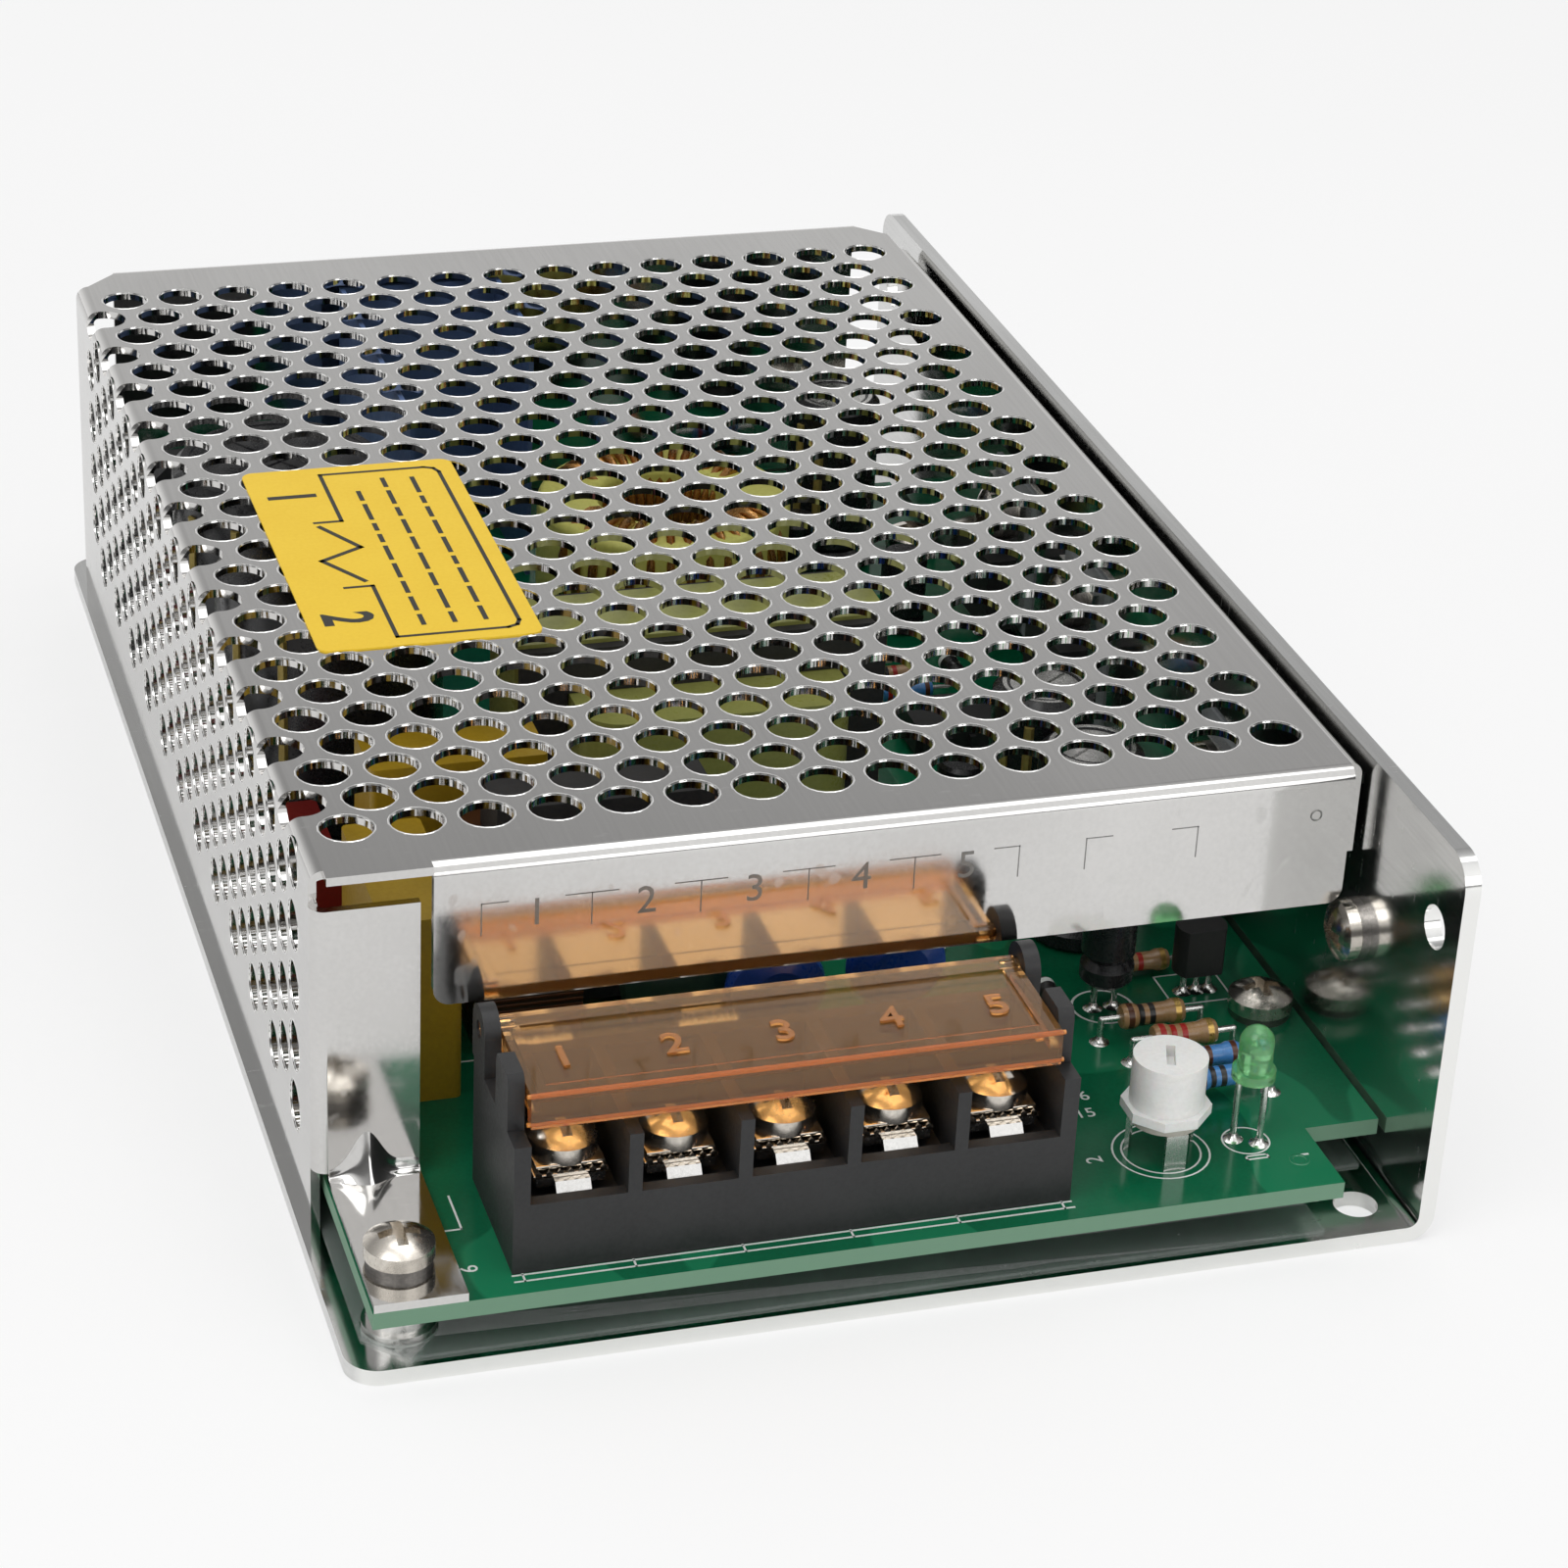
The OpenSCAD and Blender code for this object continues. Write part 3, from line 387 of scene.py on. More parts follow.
def build_speckle():
    """Moulded, dipped or printed stuff: small flecks over a slow change of tone."""
    tree, take, give = surface_group("speckle", "Base", "Fleck")
    fine = noise(tree, take["Place"], (2400, 2400, 2400), 3.0, 0.6)
    slow = noise(tree, take["Place"], (160, 160, 160), 2.0)
    tone = weighted(tree, fine, 0.5, slow, 0.5)
    mask = remap(tree, tone, 0.38, 0.64)
    colour = blend_colour(tree, mask, take["Base"], take["Fleck"])
    rough = remap(tree, tone, 0.35, 0.65, take["Smooth"], take["Rough"])
    feed(tree, give, Color=colour, Roughness=rough, Height=fine)
    return tree


def build_winding():
    """Round turns of wire side by side along Z: a painted highlight on each crown over painted
    shade in the gaps.
    """
    tree, take, give = new_group(
        "winding", {"Place": "Vector", "Crown": "Color", "Gap": "Color", "Pitch": "Float"},
        {"Color": "Color", "Height": "Float"})
    split = add(tree, "SeparateXYZ", Vector=take["Place"])
    turns = math_node(tree, "DIVIDE", split.outputs["Z"], take["Pitch"])
    half_waves = math_node(tree, "MULTIPLY", turns, math.pi)
    wave = math_node(tree, "ABSOLUTE", math_node(tree, "SINE", half_waves))
    feed(tree, give, Color=blend_colour(tree, wave, take["Gap"], take["Crown"]), Height=wave)
    return tree


def build_facing():
    """1 where the surface faces the given axis either way, 0 where it lies along it."""
    tree, take, give = new_group("facing", {"Axis": "Vector"}, {"Mask": "Float"})
    shape = tree.nodes.new("ShaderNodeNewGeometry")
    dot = tree.nodes.new("ShaderNodeVectorMath")
    dot.operation = "DOT_PRODUCT"
    put(tree, dot.inputs[0], shape.outputs["Normal"])
    put(tree, dot.inputs[1], take["Axis"])
    size = math_node(tree, "ABSOLUTE", dot.outputs["Value"])
    feed(tree, give, Mask=remap(tree, size, 0.55, 0.8))
    return tree


GROUPS = {
    "rolled_sheet": build_rolled_sheet(),
    "speckle": build_speckle(),
    "winding": build_winding(),
    "facing": build_facing(),
}


# ---------------------------------------------------------------- materials

def blank(name, shader):
    """A material with its uniform values on the shader, and its Object coordinates."""
    material = bpy.data.materials.new(name)
    material.use_nodes = True
    tree = material.node_tree
    surface = tree.nodes["Principled BSDF"]
    feed(tree, surface, **shader)
    return material, tree, surface, tree.nodes.new("ShaderNodeTexCoord").outputs["Object"]


def add_group(tree, key, **values):
    """A shader group placed in a material with its own values; returns its outputs."""
    node = tree.nodes.new("ShaderNodeGroup")
    node.node_tree = GROUPS[key]
    feed(tree, node, **values)
    return node.outputs


def add_bump(tree, surface, height, strength, distance):
    """Raises the surface by a height."""
    bump = add(tree, "Bump", Strength=strength, Distance=distance, Height=height)
    feed(tree, surface, Normal=bump.outputs["Normal"])


def sheet_metal(name, bright, dull, smooth, rough, bump, cut=None):
    """Rolled sheet; cut names the axis that its brighter cut ends face."""
    material, tree, surface, spot = blank(name, {"Metallic": 1.0})
    sheet = add_group(tree, "rolled_sheet", Place=spot, Bright=bright, Dull=dull, Smooth=smooth,
                      Rough=rough)
    colour = sheet["Color"]
    if cut:
        ends = add_group(tree, "facing", Axis=cut)
        colour = blend_colour(tree, ends["Mask"], colour, (0.90, 0.90, 0.88))
    feed(tree, surface, Base_Color=colour, Roughness=sheet["Roughness"])
    add_bump(tree, surface, sheet["Height"], bump, 0.02 * MM)
    return material


def moulded(name, base, fleck, smooth, rough, bump, shader=None):
    """Moulded, dipped, lacquered or printed finish on the speckle group."""
    material, tree, surface, spot = blank(name, shader or {})
    stuff = add_group(tree, "speckle", Place=spot, Base=base, Fleck=fleck, Smooth=smooth,
                      Rough=rough)
    feed(tree, surface, Base_Color=stuff["Color"], Roughness=stuff["Roughness"])
    if bump:
        add_bump(tree, surface, stuff["Height"], bump, 0.03 * MM)
    return material


def clear(name, tint, rough, ior, weight, **shader):
    """Clear moulded plastic or glass, faintly uneven; a lower weight makes it milky."""
    return moulded(name, tint, tuple(c * 0.95 for c in tint), rough, rough + 0.06, 0,
                   {"Transmission_Weight": weight, "IOR": ior, **shader})


def wound(name, highlight_colour, shade_colour, **shader):
    """Enamelled wire in turns along Z, with a painted highlight on each crown and painted shade
    between the turns.
    """
    material, tree, surface, spot = blank(name, shader)
    turns = add_group(tree, "winding", Place=spot, Crown=highlight_colour, Gap=shade_colour, Pitch=0.6 * MM)
    feed(tree, surface, Base_Color=turns["Color"])
    add_bump(tree, surface, turns["Height"], 0.6, 0.2 * MM)
    return material


def board_laminate(mask_colour, edge_colour):
    """Glossy mask over faint copper areas, with the pale fibrous cut edge."""
    material, tree, surface, spot = blank(
        "board_laminate", {"Specular_IOR_Level": 0.4, "Coat_Weight": 0.1, "Coat_Roughness": 0.08})
    stuff = add_group(tree, "speckle", Place=spot, Base=mask_colour,
                      Fleck=tuple(c * 0.8 for c in mask_colour), Smooth=0.16, Rough=0.26)
    areas = remap(tree, noise(tree, spot, (120, 60, 120), 0.0), 0.52, 0.535)
    lit = tuple(c * 1.35 + 0.004 for c in mask_colour)
    colour = blend_colour(tree, areas, stuff["Color"], lit)
    flat = add_group(tree, "facing", Axis=(0.0, 0.0, 1.0))["Mask"]
    colour = blend_colour(tree, flat, edge_colour, colour)
    feed(tree, surface, Base_Color=colour, Roughness=remap(tree, flat, 0.0, 1.0, 0.7, 0.18))
    height = math_node(tree, "ADD", areas, math_node(tree, "MULTIPLY", stuff["Height"], 0.2))
    add_bump(tree, surface, height, 0.25, 0.03 * MM)
    return material


# base and fleck colours, lowest and highest roughness, bump, and other values of the shader
MOULDED = {
    "film": ((0.62, 0.70, 0.66), (0.52, 0.60, 0.56), 0.05, 0.14, 0.02, {"Alpha": 0.22}),
    "label_yellow": ((0.93, 0.62, 0.02), (0.89, 0.58, 0.018), 0.3, 0.42, 0.04),
    "screw_steel": ((0.78, 0.73, 0.66), (0.60, 0.56, 0.50), 0.12, 0.30, 0.05, {"Metallic": 1.0}),
    "nickel": ((0.88, 0.80, 0.70), (0.66, 0.59, 0.50), 0.08, 0.22, 0.05, {"Metallic": 1.0}),
    # hole rims: the cover's steel made much paler, a painted highlight on the rolled edges
    "rim_steel_highlight": ((0.93, 0.925, 0.91), (0.84, 0.835, 0.82), 0.1, 0.22, 0.02, {"Metallic": 1.0}),
    "dark_steel": ((0.33, 0.31, 0.29), (0.20, 0.19, 0.18), 0.25, 0.45, 0.1, {"Metallic": 1.0}),
    "tin": ((0.82, 0.81, 0.79), (0.66, 0.65, 0.63), 0.14, 0.32, 0.08, {"Metallic": 1.0}),
    "block_black": ((0.013, 0.013, 0.014), (0.026, 0.026, 0.027), 0.42, 0.6, 0.35),
    "phenolic": ((0.56, 0.53, 0.47), (0.48, 0.45, 0.40), 0.45, 0.6, 0.2),
    "knob_white": ((0.86, 0.86, 0.84), (0.78, 0.78, 0.76), 0.3, 0.45, 0.1,
                   {"Subsurface_Weight": 0.15, "Subsurface_Scale": 0.001}),
    "resistor_tan": ((0.46, 0.27, 0.12), (0.38, 0.21, 0.09), 0.22, 0.35, 0.15,
                     {"Coat_Weight": 0.4}),
    "resistor_blue": ((0.07, 0.26, 0.60), (0.05, 0.20, 0.50), 0.2, 0.35, 0.15,
                      {"Coat_Weight": 0.4}),
    "epoxy_black": ((0.016, 0.016, 0.017), (0.03, 0.03, 0.03), 0.45, 0.65, 0.4),
    "sleeve_black": ((0.012, 0.012, 0.014), (0.02, 0.02, 0.022), 0.2, 0.35, 0.1),
    # box capacitors: their yellow darkened, painted shade under the cover
    "box_yellow": ((0.50, 0.32, 0.02), (0.43, 0.27, 0.016), 0.28, 0.4, 0.15),
    "disc_blue": ((0.02, 0.08, 0.42), (0.015, 0.06, 0.34), 0.22, 0.35, 0.5, {"Coat_Weight": 0.3}),
    "thermistor_green": ((0.02, 0.06, 0.035), (0.015, 0.045, 0.03), 0.35, 0.5, 0.6),
    "ferrite": ((0.03, 0.03, 0.033), (0.055, 0.052, 0.05), 0.5, 0.75, 0.6, {"Metallic": 0.3}),
    "copper_wire": ((0.50, 0.25, 0.07), (0.38, 0.17, 0.04), 0.2, 0.34, 0.1,
                    {"Metallic": 0.85, "Coat_Weight": 0.5}),
    # transformer tape: yellow darkened and dulled to olive, painted shade
    "tape_yellow": ((0.45, 0.46, 0.13), (0.38, 0.39, 0.10), 0.25, 0.42, 0.25,
                    {"Coat_Weight": 0.3}),
    "ring_yellow": ((0.80, 0.78, 0.20), (0.70, 0.68, 0.16), 0.35, 0.5, 0.5),
    "pad_gray": ((0.36, 0.38, 0.40), (0.30, 0.32, 0.34), 0.6, 0.8, 0.4),
    # shield sheet: its blue darkened, painted shade under the cover
    "shield_blue": ((0.10, 0.16, 0.32), (0.08, 0.13, 0.27), 0.35, 0.5, 0.1),
    "selector_red": ((0.26, 0.012, 0.010), (0.20, 0.010, 0.008), 0.35, 0.5, 0.2),
    "board_ink": ((0.82, 0.84, 0.82), (0.68, 0.72, 0.69), 0.45, 0.6, 0.2),
    "label_ink": ((0.014, 0.013, 0.012), (0.03, 0.027, 0.02), 0.4, 0.55, 0.1),
    "sleeve_ink": ((0.52, 0.40, 0.12), (0.42, 0.32, 0.09), 0.35, 0.5, 0.1, {"Metallic": 0.4}),
    "engraved": ((0.30, 0.30, 0.29), (0.22, 0.22, 0.21), 0.35, 0.5, 0.2, {"Metallic": 1.0}),
    "band_brown": ((0.10, 0.03, 0.012), (0.08, 0.025, 0.01), 0.25, 0.35, 0.1),
    "band_black": ((0.012, 0.012, 0.012), (0.02, 0.02, 0.02), 0.25, 0.35, 0.1),
    "band_red": ((0.48, 0.02, 0.015), (0.40, 0.015, 0.01), 0.25, 0.35, 0.1),
    "band_gold": ((0.70, 0.46, 0.14), (0.6, 0.38, 0.1), 0.25, 0.35, 0.1, {"Metallic": 0.7}),
    "chip_cream": ((0.62, 0.56, 0.44), (0.52, 0.46, 0.35), 0.4, 0.55, 0.3),
}


def build_finishes(look):
    """Every material, under the name of the record slot or piece that wears it."""
    cover, mask, amber = (tuple(c) for c in (look.cover_colour, look.mask_colour,
                                             look.amber_colour))
    glow = {"Subsurface_Weight": 0.3, "Subsurface_Scale": 0.001}
    made = {name: moulded(name, *values) for name, values in MOULDED.items()}
    for make, name, *values in (
            (sheet_metal, "case_aluminium", (0.78, 0.78, 0.77), (0.66, 0.66, 0.65), 0.08, 0.2,
             0.05, (0.0, 1.0, 0.0)),
            (sheet_metal, "cover_steel", cover, tuple(c * 0.9 for c in cover), 0.045, 0.14, 0.03),
            (clear, "flip_amber", amber, 0.05, 1.49, 0.93),
            (clear, "amber_edge", (1.0, 0.40, 0.07), 0.1, 1.49, 0.4),
            (clear, "amber_raised", (0.98, 0.50, 0.16), 0.1, 1.49, 0.8),
            (clear, "fuse_glass", (0.97, 0.99, 0.98), 0.02, 1.5, 1.0)):
        made[name] = make(name, *values)
    made["board_green"] = board_laminate(mask, (0.16, 0.30, 0.20))
    made["lamp_green"] = clear("lamp_green", (0.34, 0.86, 0.40), 0.14, 1.5, 0.8, **glow)
    # copper turns: a painted highlight on each crown and painted shade in the gaps between turns
    made["copper"] = wound("copper", (0.62, 0.22, 0.06), (0.12, 0.035, 0.01), Metallic=0.8,
                           Roughness=0.28)
    # the line filter's coils: a far darker copy of the copper, painted shade where they sit under
    # the cover
    made["coil_copper_painted_shade"] = wound("coil_copper_painted_shade", (0.10, 0.035, 0.014), (0.02, 0.008, 0.004),
                                Metallic=0.5, Roughness=0.3)
    return made


FINISHES = {}
# nodes that wear a darker or paler make of their slot's material; the line filter's coils wear
# painted shade
OWN_FINISH = {"line_filter_coils": "coil_copper_painted_shade"}


# ---------------------------------------------------------------- properties

def length_property(name, description, default, least, most):
    """A length property, given in millimetres."""
    return bpy.props.FloatProperty(name=name, description=description, subtype="DISTANCE",
                                   default=default * MM, min=least * MM, max=most * MM)


def colour_property(name, description, default):
    """A colour property."""
    return bpy.props.FloatVectorProperty(name=name, description=description, subtype="COLOR",
                                         default=default, min=0, max=1)


def angle_property(name, description, degrees):
    """An angle property, given in degrees."""
    return bpy.props.FloatProperty(name=name, description=description, subtype="ANGLE",
                                   default=math.radians(degrees))


class SupplyLook(bpy.types.PropertyGroup):
    """Colours of the case, the board and the flip cover."""

    cover_colour: colour_property("Cover", "Colour of the plated cover", (0.70, 0.69, 0.675))
    mask_colour: colour_property("Board", "Colour of the board's mask", (0.004, 0.135, 0.058))
    amber_colour: colour_property("Flip cover", "Tint of the clear flip cover", (0.98, 0.54, 0.19))


class SupplySizes(bpy.types.PropertyGroup):
    """Sizes of print, wire and small parts."""

    ink_width: length_property("Ink line", "Width of a printed line on the board", 0.18, 0.05, 0.5)
    ink_height: length_property("Ink height", "Height of print above its surface", 0.03, 0.01, 0.1)
    label_line: length_property("Label line", "Width of a printed line on the label", 0.4, 0.1, 1)
    numeral_height: length_property("Numerals", "Height of the flip cover's numbers", 3.0, 1, 5)
    choke_wire: length_property("Choke wire", "Diameter of the output choke's wire", 1.0, 0.5, 1.1)
    choke_turns: bpy.props.IntProperty(
        name="Choke turns", description="Turns in each half of the output choke", default=14,
        min=4, max=20)
    ridges: bpy.props.IntProperty(
        name="Plate ridges", description="Ridges on each clamp plate", default=7, min=3, max=11)


class SupplyStage(bpy.types.PropertyGroup):
    """Camera and light."""

    azimuth: angle_property("Azimuth", "Turn about the part, 0 faces its front", -18.2)
    elevation: angle_property("Elevation", "Height of the camera above the floor's plane", 28.25)
    roll: angle_property("Roll", "Tilt of the camera about its own axis", 3.0)
    distance: bpy.props.FloatProperty(
        name="Distance", description="From the camera to its aim", subtype="DISTANCE",
        default=0.408, min=0.2, max=5)
    lens: bpy.props.FloatProperty(
        name="Lens", description="Focal length in millimetres", default=94.4, min=20, max=300)
    lamp_power: bpy.props.FloatProperty(
        name="Lamps", description="Power of the main lamp", subtype="POWER", default=2.6, min=0,
        max=100)


# ---------------------------------------------------------------- case

class SUPPLY_OT_finishes(bpy.types.Operator):
    """Makes the materials and gives each CAD node the one that its record slot names"""

    bl_idname = "supply.finishes"
    bl_label = "Finishes"

    def execute(self, context):
        FINISHES.update(build_finishes(context.scene.supply_look))
        for entry in frame["record"]["subparts"]:
            node = frame["nodes"][entry["node"]]
            node.data.materials.clear()
            look = OWN_FINISH.get(entry["node"], entry["material_slot"])
            node.data.materials.append(FINISHES[look])
        return {"FINISHED"}


class Pen:
    """Prints thin raised strips on a level surface and keeps them as a list of parts."""

    def __init__(self, level, width, height):
        self.level, self.width, self.height = level, width, height
        self.parts = []

    def at(self, x, y, lift=0.0):
        """A place on the surface, or above it."""
        return Vector((x, y, self.level)) + Vector((0, 0, lift))

    def path(self, points, bold=1.0, closed=False):
        """Strips along a run of (x, y) points."""
        ends = points[1:] + points[:1] if closed else points[1:]
        width = self.width * bold
        for start, end in zip(points, ends):
            start, end = self.at(*start), self.at(*end)
            along = end - start
            clear_selection()
            bpy.ops.mesh.primitive_cube_add(
                size=1, location=(start + end) / 2 + Vector((0, 0, self.height / 2)))
            piece = bpy.context.object
            piece.scale = (along.length + width, width, self.height)
            piece.rotation_euler = (0, 0, math.atan2(along.y, along.x))
            self.parts.append(settle(piece, "line"))

    def outline(self, x0, y0, x1, y1):
        """A closed rectangle."""
        self.path([(x0, y0), (x1, y0), (x1, y1), (x0, y1)], closed=True)

    def circle(self, x, y, radius, bold=1.0):
        """A flat printed ring."""
        width = self.width * bold
        self.parts.append(ring("ring", self.at(x, y, self.height / 2), radius, width / 2,
                               squash=(1, 1, self.height / width), sides=40, wire_sides=6))


def is_round_hole(size, axis):
    """Whether a box's size, seen along an axis, is that of one of the cover's holes."""
    across, along = (size[i] for i in range(3) if i != axis)
    return (all(3.5 * MM < reach < 6 * MM for reach in (across, along))
            and abs(across - along) < 0.1 * MM)


class SUPPLY_OT_hole_rims(bpy.types.Operator):
    """Rolls the punched edge of each hole in the cover's top and wall"""

    bl_idname = "supply.hole_rims"
    bl_label = "Hole rims"

    def execute(self, context):
        near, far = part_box("mesh_cover")
        sheet = 1.0 * MM
        # name, axis of the holes, outer face of the sheet, turn, roll of the edge, hole walls
        sets = (
            ("top_rims", 2, far.z, (0, 0, 0), 0.2 * MM,
             lambda f: f.center.z > far.z - sheet and abs(f.normal.z) < 0.3),
            ("wall_rims", 0, near.x, (0, -QUARTER_TURN, 0), 0.12 * MM,
             lambda f: f.center.x < near.x + sheet and abs(f.normal.x) < 0.3),
        )
        for name, axis, level, turn, roll, keep in sets:
            holes = [(a, b) for a, b in shells("mesh_cover", keep) if is_round_hole(b - a, axis)]
            across = 1 if axis == 0 else 0
            radius = (holes[0][1] - holes[0][0])[across] / 2
            profile = [(radius + roll, 0.0), (radius + roll * 0.7, 0.04 * MM),
                       (radius + 0.04 * MM, 0.02 * MM), (radius - 0.03 * MM, -0.14 * MM)]
            rim = turned("rim", ORIGIN, profile, 20, turn, False)
            shifts = []
            for a, b in holes:
                spot = (a + b) / 2
                spot[axis] = level
                shifts.append(spot)
            # the rims' shape is the rolled edge; their paler steel is a painted highlight
            finish(scattered(rim, name, shifts), "rim_steel_highlight")
        return {"FINISHED"}


class SUPPLY_OT_foot_crease(bpy.types.Operator):
    """Presses the swollen crease where the cover's left flange turns out into the foot"""

    bl_idname = "supply.foot_crease"
    bl_label = "Foot crease"

    def execute(self, context):
        top = high("circuit_board").z + 0.8 * MM
        front = cover_front_y()
        left = low("mesh_cover").x + 1.4 * MM
        right = left + 7.7 * MM
        columns, rows = 24, 10
        clear_selection()
        bpy.ops.mesh.primitive_grid_add(x_subdivisions=columns, y_subdivisions=rows, size=1)
        piece = bpy.context.object
        for vertex in piece.data.vertices:
            along, up = vertex.co.x + 0.5, vertex.co.y + 0.5
            # one large swelling left of the middle and a small one near the right end
            swell = (math.exp(-((along - 0.42) / 0.22) ** 2)
                     + 0.12 * math.exp(-((along - 0.9) / 0.16) ** 2))
            tall, deep = (0.9 + 3.6 * swell) * MM, (0.9 + 0.9 * swell) * MM
            bow = 1 - 0.5 * math.sin(math.pi * up) * (1 - 0.8 * min(swell, 1))
            vertex.co = Vector((left + (right - left) * along,
                                front + 0.03 * MM - deep * (1 - up) * bow,
                                top - 0.05 * MM + tall * up * bow))
        use_modifier(piece, "SUBSURF", levels=1, render_levels=1)
        use_modifier(piece, "SOLIDIFY", thickness=0.12 * MM, offset=-1)
        bpy.ops.object.mode_set(mode="EDIT")
        bpy.ops.mesh.select_all(action="SELECT")
        bpy.ops.mesh.normals_make_consistent(inside=False)
        bpy.ops.object.mode_set(mode="OBJECT")
        finish(settle(piece, "foot_crease", 60), "cover_steel")
        return {"FINISHED"}


class SUPPLY_OT_label_print(bpy.types.Operator):
    """Prints a broken frame, a crooked line, rows of dashes and two numbers on the label"""

    bl_idname = "supply.label_print"
    bl_label = "Label print"

    def execute(self, context):
        sizes = context.scene.supply_sizes
        near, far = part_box("cover_label")
        pen = Pen(far.z, sizes.label_line, 0.02 * MM)
        # the frame: rounded at the right, with its left side broken by a crooked line
        inset, corner = 1.7 * MM, 1.3 * MM
        cut = corner * 0.3
        left, right = near.x + 7.6 * MM, far.x - inset
        front, back = near.y + inset, far.y - inset
        pen.path([(left, front), (right - corner, front), (right - cut, front + cut),
                  (right, front + corner), (right, back - corner), (right - cut, back - cut),
                  (right - corner, back), (left, back)])
        stub = (back - front) * 0.3
        wing, reach = 2.6 * MM, 3.6 * MM
        for y, way in ((front, 1), (back, -1)):
            turn_y = y + way * stub
            pen.path([(left, y), (left, turn_y), (left - wing, turn_y)])
        bend = (front + back) / 2
        pen.path([(left - wing * 0.2, front + stub + 1.2 * MM), (left - reach, bend - 1.2 * MM),
                  (left + 0.6 * MM, bend + 1.2 * MM),
                  (left - wing * 0.9, back - stub - 1.0 * MM)], 1.3)
        # three rows of plain dashes
        draw = random.Random(3)
        for row in range(3):
            x = left + (right - left) * (0.25 + 0.25 * row)
            y = front + 2.2 * MM
            while y < back - 3.4 * MM:
                run = draw.uniform(1.2, 3.6) * MM
                pen.path([(x, y), (x, min(y + run, back - 2.0 * MM))], 1.2)
                y += run + 1.3 * MM
        for text, y in (("1", back - 4.6 * MM), ("2", front + 4.6 * MM)):
            pen.parts.append(numeral("mark", text, pen.at(near.x + 3.7 * MM, y), 4.6 * MM,
                                     pen.height, (0, 0, -QUARTER_TURN), 0.16 * MM, 0.8))
        finish(joined(pen.parts, "label_print"), "label_ink")
        return {"FINISHED"}


class SUPPLY_OT_lip_marks(bpy.types.Operator):
    """Adds the engraved brackets and plain numbers on the cover's front lip"""

    bl_idname = "supply.lip_marks"
    bl_label = "Lip marks"

    def execute(self, context):
        front = cover_front_y() - 0.008 * MM
        z = (high("terminal_cover").z + high("mesh_cover").z) / 2 + 0.9 * MM
        foot, head = z - 1.2 * MM, z + 1.8 * MM
        width, depth = 0.11 * MM, 0.016 * MM
        parts = []

        def strip(x0, z0, x1, z1):
            near = Vector((min(x0, x1) - width / 2, front - depth / 2, min(z0, z1) - width / 2))
            far = Vector((max(x0, x1) + width / 2, front + depth / 2, max(z0, z1) + width / 2))
            parts.append(block("strip", near, far, 0))

        edges = way_edges()
        hook = (edges[1] - edges[0]) * 0.24
        for x in edges:
            strip(x, foot, x, head)
        for left, right in zip(edges, edges[1:]):
            strip(left, head, left + hook, head)
            strip(right - hook, head, right, head)
        for index, x in enumerate(way_centres()):
            parts.append(numeral("mark", str(index + 1), Vector((x, front, z + 0.4 * MM)),
                                 2.6 * MM, depth, (QUARTER_TURN, 0, 0)))
        # the adjuster's own bracket and a punched round mark in the corner
        knob, corner = middle("trimmer_knob"), high("mesh_cover")
        for side in (-1, 1):
            x = knob.x + side * 5.2 * MM
            strip(x, foot, x, head)
            strip(x, head, x - side * 2.4 * MM, head)
        dot = Vector((corner.x - 4.6 * MM, front, corner.z - 4.2 * MM))
        parts.append(ring("dot", dot, 0.5 * MM, 0.08 * MM, turn=(QUARTER_TURN, 0, 0), sides=20,
                          wire_sides=6))
        finish(joined(parts, "lip_marks"), "engraved")
        return {"FINISHED"}


def cover_front_y():
    """Outer face of the cover's lip: the foremost face of the cover above the foot."""
    cover = frame["nodes"]["mesh_cover"].data
    foot_top = high("circuit_board").z + 4 * MM
    return min(v.co.y for v in cover.vertices if v.co.z > foot_top)


def way_centres():
    """X of each terminal, from the screws that the CAD holds."""
    return [(a.x + b.x) / 2 for a, b in shells("terminal_screws")]


def way_edges():
    """X of the barriers beside the terminals."""
    centres = way_centres()
    pitch = centres[1] - centres[0]
    return [centres[0] + (index - 0.5) * pitch for index in range(len(centres) + 1)]


# ---------------------------------------------------------------- board

